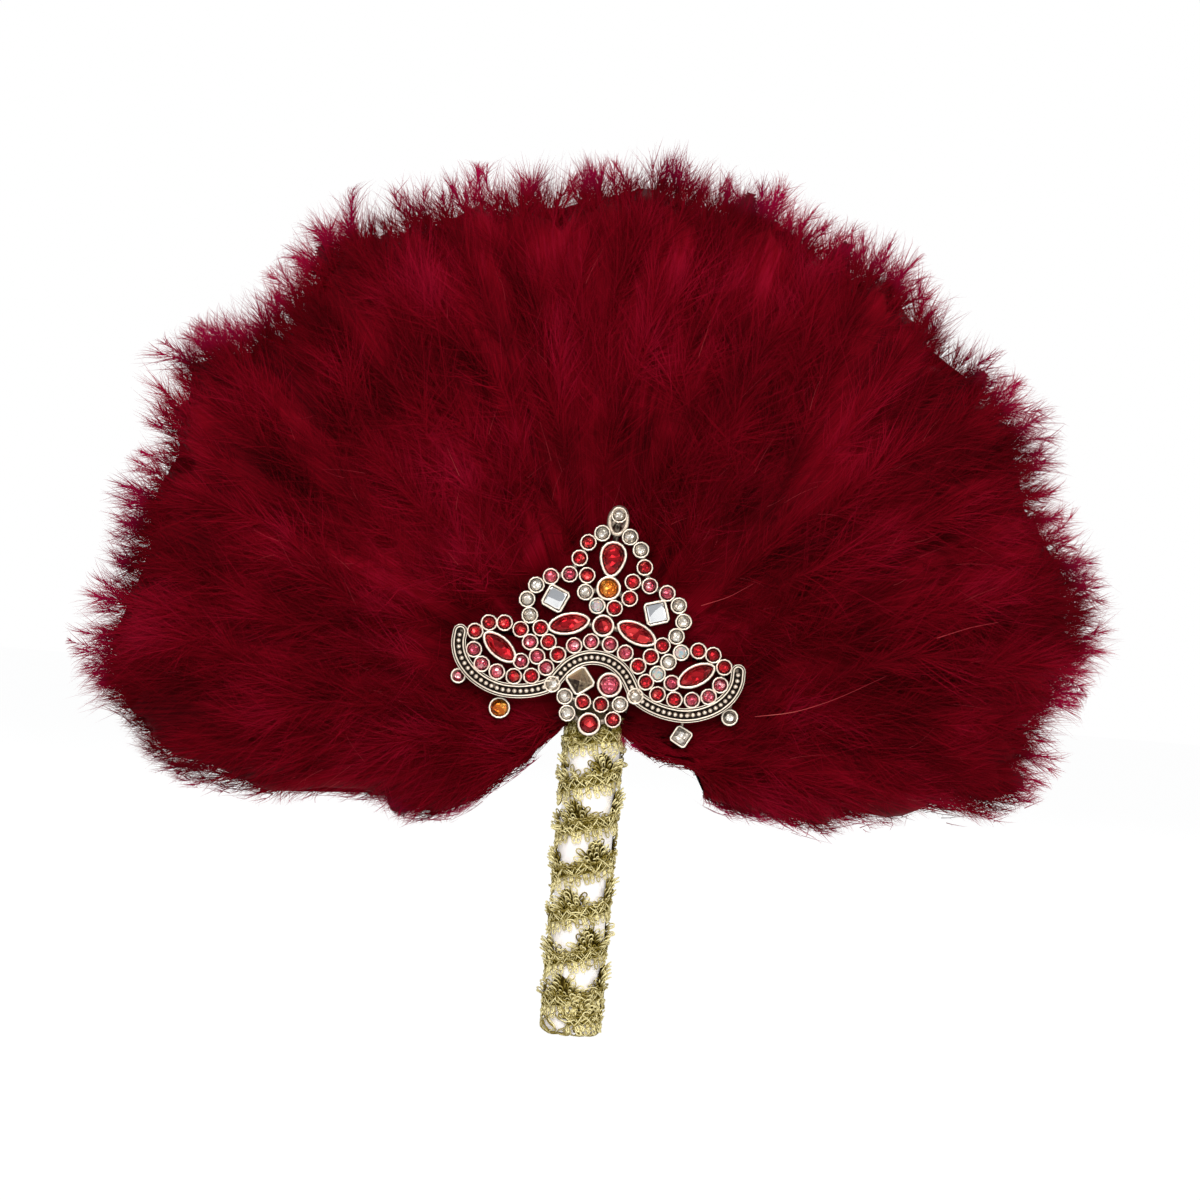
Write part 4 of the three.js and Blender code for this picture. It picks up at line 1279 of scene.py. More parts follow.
@dataclass
class StiffFeathers:
    """The flat feathers under the down, whose dark tips show past it here and there."""

    finishes: Finishes
    plumage: Plumage
    count: int = 9
    spacing: float = 29.67
    half_width: float = 13.0
    quill_root: float = 15.0
    show: float = -1.5
    share: float = 0.93
    vane_root: float = 0.3
    barbs_a_side: int = 110
    seed: int = 5
    extra: tuple[tuple[int, float, float], ...] = (
        (4, 10.5, 0.985), (3, -36.5, 0.975), (5, 24.0, 0.98), (6, 47.0, 0.975), (7, 98.0, 0.97),
    )

    def feather(self, angle: float, share: float, rng: Rng) -> Shell:
        """Makes one feather: a tapering quill with flat barbs on both sides.

        A barb leaves the quill at place s and ends on the vane's edge, whose half width grows
        over the first third and closes as the root of 1 less s to the power 2.6. Groups of
        barbs cling together, which leaves the splits in the edge.

        Args:
            angle: Its angle from straight up, in degrees.
            share: Its length as a share of the down's reach there.
            rng: Where chance comes from.

        Returns:
            The shell, with the values along, across and tone.
        """
        turn = np.radians(angle)
        ahead = np.array([np.sin(turn), 0.0, np.cos(turn)])
        aside = np.array([np.cos(turn), 0.0, -np.sin(turn)])
        length = float(self.plumage.reach_at(np.array([angle]))[0]) * share
        hub = HUB_Z * UPWARD
        bow = rng.normal(0, 6.0)

        def centre(s: Array) -> Array:
            """Returns points on the quill, bowed sideways in its own plane."""
            out = self.quill_root + s * (length - self.quill_root)
            flat = hub + out[:, None] * ahead + (bow * s**2)[:, None] * aside
            return flat + (1.9 + 4.0 * s**3)[:, None] * FORWARD

        way = np.linspace(0, 1, 24)
        quill = threads(centre(way)[None], (1.3 * (1 - way) + 0.15)[None], 6)
        parts = [quill.valued(across=0.0, tone=1.2)]
        for side in (-1.0, 1.0):
            base = np.linspace(self.vane_root, 0.995, self.barbs_a_side)
            group = np.cumsum(rng.uniform(0, 1, len(base)) < 0.12)
            shift = rng.normal(0, 0.05, group[-1] + 1)[group]
            place = (base - self.vane_root) / (1 - self.vane_root)
            wide = self.half_width * np.clip((place + 0.02) / 0.3, 0, 1) ** 0.6
            wide = wide * np.sqrt(1 - place**2.6) * (1 + shift + rng.normal(0, 0.02, len(base)))
            wide = wide[:, None, None]
            root = centre(base)
            step = length * (1 - self.vane_root) / self.barbs_a_side
            t = np.linspace(0, 1, 5)[None, :, None]
            forward = (0.4 + shift[:, None, None] * 1.5) * wide
            line = root[:, None] + t * side * wide * aside + t**1.3 * forward * ahead
            line = line + 0.12 * wide * t**2 * FORWARD * rng.uniform(0.2, 1.0)
            thick = step * 0.62 * (1 - 0.75 * t**3)
            edges = np.concatenate([line - thick * ahead, line + thick * ahead], 1)
            cell = np.arange(4)
            quad = np.stack([cell, 5 + cell, 6 + cell, cell + 1], 1)
            quads = (np.arange(len(base))[:, None, None] * 10 + quad).reshape(-1, 4)
            barbs = Shell(edges.reshape(-1, 3), quads if side > 0 else quads[:, ::-1])
            across = np.tile(np.linspace(0, 1, 5), 2 * len(base))
            barbs.valued(across=across, along=np.repeat(base, 10), tone=np.repeat(shift * 4, 10))
            parts.append(barbs)
        return self.trimmed(joined(parts))

    def trimmed(self, shell: Shell) -> Shell:
        """Drops the faces that would show below the down's lower edge, beside the stick."""
        low = self.plumage.edge_at(shell.points[:, 0]) + HUB_Z - self.show
        shown = shell.points[:, 2] > low
        shell.quads = shell.quads[shown[shell.quads].all(1)]
        shell.triangles = shell.triangles[shown[shell.triangles].all(1)]
        return shell

    def build(self) -> None:
        """Makes the feathers in place of the plain ones."""
        rng = np.random.default_rng(self.seed)
        for number in range(self.count):
            name = f"base_feather_{number + 1}"
            angle = (number - (self.count - 1) / 2) * self.spacing
            parts = [self.feather(angle, self.share, rng)]
            parts += [self.feather(*spec, rng) for owner, *spec in self.extra if owner == number]
            make_piece(
                joined(parts), f"stiff_{name}", self.finishes["dyed_vane"], replaces=[name]
            )


# Grip

@dataclass
class Grip:
    """The padded stick: foam, satin, the gathered end and the binding at the neck."""

    finishes: Finishes
    bottom: float = -57.5
    top: float = 57.5
    foam_radius: float = 9.35
    satin_radius: float = 10.7
    satin_thickness: float = 0.4
    neck_bottom: float = 57.9
    neck_top: float = 64.2
    neck_radius: float = 9.75
    cord_radius: float = 0.42
    hem: float = 1.6

    def satin(self) -> Shell:
        """Makes the satin as a thin tube with shallow folds.

        Its radius is the full radius less a fold, a sum of sines of turn and height; a seam
        runs up the back as a soft step.

        Returns:
            A closed shell.
        """
        columns, rows = 72, 90
        turn = full_turn(columns)
        height = np.linspace(self.bottom + self.hem, self.top, rows)[:, None]
        fold = (
            np.sin(3 * turn + height * 0.21) + np.sin(5 * turn - height * 0.33 + 1.0)
            + 0.8 * np.sin(2 * turn + height * 0.62 + 2.0)
        )
        seam = np.clip(1 - np.abs(turn - np.pi) * self.satin_radius / 1.2, 0, 1)
        outer = self.satin_radius - 0.22 - 0.07 * fold + 0.15 * seam
        radius = np.concatenate([outer, (outer - self.satin_thickness)[::-1]])
        points = cylindrical(radius, turn, np.concatenate([height, height[::-1]])).reshape(-1, 3)
        return Shell(points, grid_quads(2 * rows + 1, columns, True) % len(points)).outward()

    def end(self) -> Shell:
        """Makes the gathered end: satin pleated in to a small dimple.

        The pleats are a cosine of turn, deepest halfway in.

        Returns:
            A closed shell.
        """
        share = np.linspace(0, 1, 14)[:, None]
        turn = full_turn(96)
        radius = np.minimum(self.satin_radius * (1 - share) + 0.4, self.satin_radius - 0.1)
        pleat = 0.45 * np.sin(np.pi * share) * np.cos(24 * turn)
        height = self.bottom + 0.55 + 1.1 * (1 - np.sqrt(1 - (1 - share) ** 4)) + pleat * 0.6
        grid = cylindrical(radius, turn, height)
        lid = grid[:1].copy()
        lid[..., 2] = self.bottom + 1.5
        return closed_grid(np.concatenate([lid, grid]))

    def binding(self) -> Shell:
        """Winds one cord round the neck in close turns over a sleeve."""
        pitch = 2.05 * self.cord_radius
        turns = (self.neck_top - self.neck_bottom - 2 * self.cord_radius) / pitch
        at = np.linspace(0, turns, round(turns * 40))
        radius = self.neck_radius + 0.05 * np.sin(at * 31)
        height = self.neck_bottom + self.cord_radius + pitch * at
        path = cylindrical(radius, 2 * np.pi * at, height)
        cord = threads(path[None], self.cord_radius, 6, up=UPWARD)
        low, high = self.neck_bottom + 0.1, self.neck_top - 0.1
        sleeve = lathe([(8.65, low), (9.5, low), (9.5, high), (8.65, high)], 48)
        return joined([cord.valued(tone=0.4), sleeve.valued(tone=0.8)])

    def build(self) -> None:
        """Dresses the stick."""
        radius = self.foam_radius
        profile = [(7.6, -55.8), (radius, -55.6), (radius - 0.2, -20), (radius, 10),
                   (radius - 0.15, 40), (radius, 57.2), (7.6, 57.4)]
        sleeve = make_piece(lathe(profile, 48), "foam_sleeve", self.finishes["grip_foam"],
                            replaces=["handle_padding"])
        satin = make_piece(self.satin(), "satin_cover", self.finishes["white_satin"],
                           replaces=["satin_wrap"])
        wide = 2 * math.pi * (self.satin_radius - self.satin_thickness)
        tall = self.top - self.bottom - self.hem
        wide * METRES
        tall * METRES
        make_piece(self.end(), "gathered_end", self.finishes["white_satin"],
                   replaces=["butt_cover"])
        make_piece(self.binding(), "neck_cord", self.finishes["lace_thread"],
                   replaces=["neck_binding"])


@dataclass
class Lace:
    """Straw-gold gimp wound on the grip: braid, hanging loops and leaf clusters."""

    finishes: Finishes
    radius: float = 11.2
    pitch: float = 17.0
    bottom: float = -44.0
    top: float = 66.0
    turns: float = 6.0
    crowded: float = 74.0
    crowding: float = 0.45
    seed: int = 3
    braid_wave: float = 5.2
    loop_step: float = 2.75
    leaves_a_turn: float = 3.5
    first_leaf: float = -4.0
    neck_z: float = 57.5
    neck_radius: float = 11.8
    end_z: float = -57.0
    leaf_spots: tuple[tuple[float, float, float], ...] = (
        (-5.6, 1.4, 70), (-5.0, 3.2, 48), (-3.7, 5.2, 28), (-1.8, 7.2, 14), (0.5, 8.0, -4),
        (2.6, 6.6, -22), (4.4, 4.6, -40), (5.4, 2.6, -60), (-2.9, 2.2, 30), (2.9, 2.2, -30),
        (0.0, 4.8, 0), (0.1, 1.9, 0), (-2.2, 4.2, 22), (2.2, 4.0, -20), (-0.6, 6.2, 6),
    )

    @property
    def length(self) -> float:
        """Returns the trim's length along its middle."""
        return self.turns * math.hypot(2 * math.pi * self.radius, self.pitch)

    @property
    def leaf_step(self) -> float:
        """Returns the distance along the trim from one leaf cluster to the next."""
        return self.length / (self.turns * self.leaves_a_turn)

    def wrap(self, along: Array, up: Array, off: Array | float = 0.0) -> Array:
        """Lays points of the flat trim on the grip.

        The trim climbs slower in a turn at either end, where it overlaps itself, and what
        would hang below the stick's end is drawn in over it.

        Args:
            along: Distance along the trim, below 0 in its first, crowded turn.
            up: Distance above its middle line, square to it.
            off: Distance out from the grip.

        Returns:
            Points round the stick.
        """
        slope = math.atan2(self.pitch, 2 * math.pi * self.radius)
        turned = (along * math.cos(slope) - up * math.sin(slope)) / self.radius
        past = np.maximum(along - self.length, 0.0)
        climb = np.where(along > 0, along, along * self.crowding) - past * (1 - self.crowding)
        climb = climb * math.sin(slope)
        height = self.bottom + climb + up * math.cos(slope)
        height = height - 0.9 * np.maximum(height - self.top, 0.0)
        radius = self.radius + off
        radius = np.where(height > self.neck_z, np.minimum(radius, self.neck_radius), radius)
        below = np.maximum(self.end_z - height, 0.0)
        radius = np.maximum(radius - 2.2 * below, 2.0)
        height = np.where(below > 0, self.end_z - 0.12 * below, height)
        return cylindrical(radius, turned, height)

    def outward(self, points: Array) -> Array:
        """Returns the direction away from the stick's axis at each point."""
        flat = points.copy()
        flat[..., 2] = 0.0
        return unit(flat)

    def strand(self, paths: Array, radius: float, tone: float | Array) -> Shell:
        """Makes four-sided threads on these paths, with one tone or one for each."""
        shell = threads(paths, radius, 4, up=self.outward(paths) + 1e-3 * UPWARD)
        tones = np.broadcast_to(np.asarray(tone, float), (len(paths),))
        # rise, how far a thread stands off the grip, sets the painted shade on low thread
        rise = np.linalg.norm(paths[..., :2], axis=-1) - self.radius
        rises = np.concatenate([np.repeat(rise.reshape(-1), 4), rise[:, [0, -1]].reshape(-1)])
        shell.valued(rise=np.clip(rises, -0.4, 2.0))
        return shell.valued(tone=for_threads(tones, paths.shape[1], 4))

    def run(self, wave: float, steps: int) -> Array:
        """Returns distances along the whole trim, this many for each wave's length."""
        span = self.length + 2 * self.crowded
        return np.linspace(-self.crowded, self.length + self.crowded, round(span / wave * steps))

    def braid(self) -> Shell:
        """Plaits six waves of one length, each a sixth of a wave behind the last.

        Returns:
            The shell, with two wavy cords along its edges.
        """
        along = self.run(self.braid_wave, 8)
        parts = []
        for number in range(6):
            phase = 2 * np.pi * (along / self.braid_wave + number / 6)
            up = 1.55 * np.sin(phase) + 0.3 * np.sin(along * 0.7 + number)
            paths = self.wrap(along, up, 0.4 * np.cos(2 * phase + number) + 0.3)
            parts.append(self.strand(paths[None], 0.25, 0.2 + 0.13 * number))
        for edge in (-1.9, 1.9):
            wave = 0.3 * np.sin(2 * np.pi * along / self.braid_wave * 2)
            paths = self.wrap(along, edge + wave, 0.3 + 0.2 * np.cos(along * 3))
            parts.append(self.strand(paths[None], 0.33, 0.25))
        return joined(parts)

    def petals(self, rng: Rng, spots: Array, lean: Array, tall: float, wide: float,
               tones: tuple[float, float], nested: Sequence[float], lift: float, wire: float) -> Shell:
        """Makes long loops that stand on given places of the flat trim, nested in each other.

        A loop rises by a sine of the way round it and swells across by a cosine.

        Args:
            rng: Where chance comes from.
            spots: Along and up of each loop's foot.
            lean: Each loop's turn from straight up, in degrees.
            tall: A loop's height.
            wide: Half its width.
            tones: The least and greatest tone.
            nested: The size of each loop of a nest.
            lift: How far its tip may stand off the grip.
            wire: The thread's radius.

        Returns:
            The shell.
        """
        turn = np.linspace(0, np.pi, 9)[None, :]
        tilt = np.radians(lean)[:, None]
        size = rng.uniform(0.85, 1.15, len(spots))[:, None]
        raised = rng.uniform(0.1, lift, len(spots))[:, None]
        tone = rng.uniform(*tones, len(spots))
        parts = []
        for scale in nested:
            high = np.sin(turn) ** 0.8 * tall * size * (0.15 + 0.85 * scale)
            out = -np.cos(turn) * wide * size * scale * (0.5 + 0.7 * np.sin(turn))
            along = spots[:, :1] + out * np.cos(tilt) - high * np.sin(tilt)
            up = spots[:, 1:] + out * np.sin(tilt) + high * np.cos(tilt)
            off = 0.2 + raised * np.sin(turn) ** 1.5 + 0.3 * (1 - scale)
            parts.append(self.strand(self.wrap(along, up, off), wire, tone - 0.25 * (1 - scale)))
        return joined(parts)

    def loops(self, rng: Rng) -> Shell:
        """Hangs long pale loops from the braid's lower edge, and short ones from its upper."""
        at = np.arange(-self.crowded, self.length + self.crowded, self.loop_step)
        at = at + rng.normal(0, 0.2, len(at))
        low = np.stack([at, np.full(len(at), -1.8)], -1)
        high = np.stack([at, np.full(len(at), 1.7)], -1)
        hanging = self.petals(rng, low, 180 + rng.normal(0, 9, len(at)), 4.3, 1.05, (-0.3, 0.3),
                              (1.0, 0.5), 1.0, 0.29)
        rising = self.petals(rng, high, rng.normal(0, 24, len(at)), 1.9, 0.9, (0.1, 0.7),
                             (1.0,), 1.1, 0.29)
        return joined([hanging, rising])

    def leaves(self, rng: Rng) -> Shell:
        """Raises leaf clusters from the braid's upper edge, each leaf two nested loops."""
        step = self.leaf_step
        before = self.crowded // step
        centre = np.arange(self.first_leaf - before * step, self.length + self.crowded, step)
        centre = centre + rng.normal(0, 1.0, len(centre))
        parts = []
        for across, up, lean in self.leaf_spots:
            spots = np.stack([centre + across, np.full(len(centre), up)], -1)
            spots = spots + rng.normal(0, 0.35, spots.shape)
            tilt = lean + rng.normal(0, 14, len(centre))
            parts.append(self.petals(rng, spots, tilt, 3.7, 1.25, (0.25, 1.0), (1.0, 0.5), 3.0, 0.28))
        return joined(parts)

    def shade_strip(self) -> Shell:
        """Makes a dark strip under the braid, scalloped along its upper edge: painted shade that shows in
        the gaps between the threads.

        Returns:
            The shell: a closed strip, thinner at its edges.
        """
        along = self.run(self.loop_step, 4)
        wave = np.cos(2 * np.pi * (along - self.first_leaf) / self.leaf_step)
        scallop = 7.5 * np.maximum(wave + 0.1, 0) ** 0.8
        rows = [(-1.9, 0.0), (-1.7, 0.16), (0.0, 0.16), (2.1, 0.16), (2.3, 0.0)]
        back = [(2.2, -0.12), (0.0, -0.12), (-1.7, -0.12)]
        lines = [
            self.wrap(along, np.full(len(along), up) + (scallop if up > 2 else 0.0), off - 0.08)
            for up, off in rows + back
        ]
        # tone 1.05 gives the strip the thread's darkest colour, as painted shade
        return closed_grid(np.stack(lines, 1)).valued(tone=1.05, rise=0.0)

    def curls(self, rng: Rng) -> Shell:
        """Scatters small open curls of thread over the braid and the leaves."""
        count, length = 480, 10
        middle = rng.uniform(-self.crowded, self.length + self.crowded, (count, 1))
        high = rng.normal(1.2, 2.4, (count, 1))
        turn = rng.uniform(0, 2 * np.pi, (count, 1)) + np.linspace(0, 4.6, length)
        size = rng.uniform(0.5, 1.3, (count, 1)) * np.linspace(1.0, 0.5, length)
        drift = rng.normal(0, 1.2, (count, 1)) * np.linspace(-1, 1, length)
        off = rng.uniform(0.3, 1.5, (count, 1)) + 0.3 * np.sin(turn)
        paths = self.wrap(middle + size * np.cos(turn) + drift, high + size * np.sin(turn), off)
        return self.strand(paths, 0.24, rng.uniform(-0.2, 1.0, count))

    def crossings(self) -> Shell:
        """Lays loose zigzag threads over the loops and along the upper edge."""
        parts = []
        for middle, reach, wave, tone in (
            (-3.4, 1.0, 6.1, 0.5), (2.4, 0.9, 5.2, 0.6), (0.2, 2.4, 7.7, -0.1), (-0.6, 1.8, 9.4, 0.2)
        ):
            along = self.run(wave, 8)
            phase = 2 * np.pi * along / wave
            up = middle + reach * np.sin(phase) + 0.3 * np.sin(phase * 0.37)
            paths = self.wrap(along + 0.6 * np.sin(2 * phase), up, 0.6 + 0.3 * np.cos(2 * phase))
            parts.append(self.strand(paths[None], 0.22, tone))
        return joined(parts)

    def gathering(self, rng: Rng) -> Shell:
        """Draws loose loops of the trim in over the end of the stick."""
        count, length = 34, 14
        turn = 2 * np.pi * (np.arange(count) + rng.uniform(-0.3, 0.3, count)) / count
        way = np.linspace(0, 1, length)[None, :]
        inner = rng.uniform(2.5, 7.5, count)[:, None]
        radius = 11.7 - (11.7 - inner) * np.clip(way * 1.6 - 0.6, 0, 1)
        fall = -50.0 - 7.6 * np.sin(np.pi / 2 * np.clip(way * 1.4, 0, 1)) + 0.4 * np.sin(9 * way)
        twist = rng.uniform(-0.6, 1.0, (count, 1))
        angle = turn[:, None] + twist * way + 0.2 * np.sin(14 * way + turn[:, None] * 5)
        shell = threads(cylindrical(radius, angle, fall), 0.34, 4, up=np.array([0.3, 0.2, 1.0]))
        tone = np.repeat(rng.uniform(-0.2, 1.0, count), length * 4)
        return shell.valued(rise=0.5, tone=np.concatenate([tone, np.full(2 * count, 0.5)]))

    def build(self) -> None:
        """Winds the whole trim."""
        rng = np.random.default_rng(self.seed)
        band = [self.shade_strip(), self.braid(), self.crossings(), self.gathering(rng)]
        make_piece(
            joined(band), "lace_gimp", self.finishes["lace_thread"], replaces=["lace_trim"]
        )
        edging = [self.loops(rng), self.leaves(rng), self.curls(rng)]
        make_piece(joined(edging), "lace_edging", self.finishes["lace_thread"])


# Brooch

class Stone(Enum):
    """The colours of the stones, by the letter that the tables use."""

    RED = "r"
    PINK = "p"
    CLEAR = "c"
    RAINBOW = "A"
    AMBER = "a"
    MIRROR = "m"

    @property
    def glass(self) -> str:
        """Returns the name of this colour's finish."""
        return f"{self.name.lower()}_glass"

    @property
    def slot(self) -> str:
        """Returns the record's slot. A rainbow stone is clear glass with a coating."""
        return "clear_glass" if self is Stone.RAINBOW else self.glass


# Across, up and the left and right stone's letter, as shares of the brooch's half width, which
# the places below are shares of too.
SMALL_STONES = [
    (0.1, 0.655, "cc"), (0.19, 0.575, "rc"), (0.235, 0.455, "rr"), (0.29, 0.33, "pp"),
    (0.42, 0.295, "pp"), (0.515, 0.22, "cc"), (0.565, 0.11, "cc"), (0.53, 0.0, "cc"),
    (0.165, 0.34, "rr"), (0.16, 0.22, "cr"), (0.063, 0.135, "Ar"), (0.44, -0.08, "rr"),
    (0.37, -0.17, "rr"), (0.29, -0.25, "rr"), (0.185, -0.17, "pp"), (0.068, -0.125, "pp"),
    (0.5, -0.19, "pc"), (0.435, -0.285, "pA"), (0.36, -0.355, "pr"), (0.58, -0.11, "rA"),
    (0.7, -0.08, "rr"), (0.81, -0.095, "rr"), (0.9, -0.17, "rr"), (0.89, -0.3, "pp"),
    (0.82, -0.395, "pp"), (0.705, -0.435, "pp"), (0.58, -0.45, "rr"), (0.455, -0.43, "rr"),
    (0.545, -0.335, "pp"), (0.3, -0.465, "cc"), (0.2, -0.54, "cc"), (0.065, -0.56, "rr"),
    (0.165, -0.655, "cr"),
]
# Runs of bars from stone to stone. A whole number stands for the place of that small stone.
LINKS = [
    [(0, 0.785), 0, 1, 2, 3, 4, 5, 6, 7, 11, 12, 13, 14, 15, (0, -0.125)], [(0, 0.785), (0, 0.48)],
    [3, 8, 9, 10, (0, 0)], [(0, 0.27), 9], [4, (0.365, 0.145)], [(0, 0), (0.245, -0.02), 11],
    [7, 19, 16, 17, 18, 29], [19, 20, 21, 22, 23, 24, 25, 26, 27, 18], [27, 28, (0.71, -0.257)],
    [22, (1.005, -0.185)], [25, (0.7, -0.555)], [29, 30, 31, (0, -0.56)], [30, 32, (0, -0.71)],
]
RIM = [(1.005, -0.185), (1.01, -0.28), (0.965, -0.39), (0.86, -0.49), (0.7, -0.555), (0.54, -0.555),
       (0.4, -0.52), (0.3, -0.465)]
ARCH = [(0.3, -0.465), (0.25, -0.375), (0.19, -0.3), (0.1, -0.245), (0.0, -0.228)]
PAD = [(0.05, 0.7), (0.17, 0.56), (0.26, 0.32), (0.48, 0.22), (0.52, 0.02), (0.45, -0.14),
       (0.56, -0.16), (0.8, -0.14), (0.86, -0.26), (0.78, -0.37), (0.58, -0.42), (0.34, -0.4),
       (0.26, -0.5)]


def ellipse(half_across: float, half_up: float, count: int = 16, power: float = 1.0,
            lean: float = 0.0) -> Array:
    """Gives an outline: across = a cos t (1 + lean sin t), up = b sin t, its sine to a power.

    Args:
        half_across: Half the width.
        half_up: Half the height.
        count: Number of points.
        power: Above 1 the ends on the across axis are pointed.
        lean: Above 0 the upper end is wider.

    Returns:
        Points of across and up, anticlockwise from the front.
    """
    turn = full_turn(count)
    wave = np.sin(turn)
    across = half_across * np.cos(turn) * (1 + lean * wave)
    return np.stack([across, half_up * np.sign(wave) * np.abs(wave) ** power], -1)


def square(half: float, corner: float = 0.12, a_side: int = 4) -> Array:
    """Gives a square's outline with its corners cut a little, anticlockwise from the front."""
    side = np.stack([np.full(a_side, half), np.linspace(-1 + corner, 1 - corner, a_side) * half], -1)
    turns = [side]
    for _ in range(3):
        last = turns[-1]
        turns.append(np.stack([-last[:, 1], last[:, 0]], -1))
    return np.concatenate(turns)


def grown(outline: Array, amount: float) -> Array:
    """Moves each point of an anticlockwise outline out along its own normal."""
    tangent = np.roll(outline, -1, 0) - np.roll(outline, 1, 0)
    return outline + amount * unit(np.stack([tangent[:, 1], -tangent[:, 0]], -1))


def stacked(rings: Sequence[tuple[Array, float]]) -> Shell:
    """Makes a closed shell from outlines, each at its own depth towards the front."""
    return closed_grid(np.stack([standing(line, depth) for line, depth in rings]))


def smooth_path(points: Array, spacing: float) -> Array:
    """Rounds a path by cutting its corners three times, and spaces its points evenly.

    Args:
        points: The path's corners.
        spacing: Distance between the new points.

    Returns:
        The new points, with the same ends.
    """
    for _ in range(3):
        near = 0.75 * points[:-1] + 0.25 * points[1:]
        far = 0.25 * points[:-1] + 0.75 * points[1:]
        points = np.concatenate([points[:1], np.stack([near, far], 1).reshape(-1, 2), points[-1:]])
    arc = arc_lengths(points)
    at = np.linspace(0, arc[-1], max(round(arc[-1] / spacing), 1) + 1)
    return points_at(points, arc, at)


def gem(outline: Array, back: float, girdle: float, top: float, table: float = 0.56) -> Shell:
    """Cuts a stone: an upright girdle, two rings of facets turned by half a step, and a table.

    Args:
        outline: Its outline round its own centre.
        back: Depth of its back.
        girdle: Depth of the girdle's front edge.
        top: Depth of the table.
        table: The table's size as a share of the stone's.

    Returns:
        A closed shell to be shaded flat.
    """
    between = (outline + np.roll(outline, -1, 0)) / 2
    rise = top - girdle
    rings = [(outline * 0.96, back), (outline, girdle - 0.1 * rise), (outline, girdle),
             (between * (0.6 + 0.43 * table), girdle + 0.55 * rise), (outline * table, top)]
    return stacked(rings)


def bezel(outline: Array, wall: float, back: float, face: float, lump: Array) -> Shell:
    """Makes a rounded setting round a stone.

    Args:
        outline: The stone's outline.
        wall: Width of the wall outside it.
        back: Depth of the setting's back.
        face: Depth of its front edge.
        lump: A small random growth for each point, which keeps it hand cast.

    Returns:
        A closed shell with the value recess.
    """
    steps = [(1.0, 0.0, 1.0), (1.0, 0.5, 1.1), (0.98, 0.7, 1.2), (0.84, 0.9, 0.9), (0.66, 1.0, -0.1),
             (0.36, 1.02, -0.4), (0.1, 0.97, 0.0), (-0.08, 0.84, 1.0), (-0.46, 0.6, 1.3)]
    rings = [
        (grown(outline, wall * out + 0.6 * lump[:, None] * (out > 0.3)), back + (face - back) * deep)
        for out, deep, _ in steps
    ]
    recess = np.repeat([dark for _, _, dark in steps], len(outline))
    return stacked(rings).valued(recess=np.concatenate([recess, [0.9, 1.0]]), pale=0.55)


@dataclass
class Jewel:
    """One stone of the brooch: where it is, its outline and its colour."""

    place: tuple[float, float]
    outline: Array
    colour: Stone
    wall: float
    node: str = ""


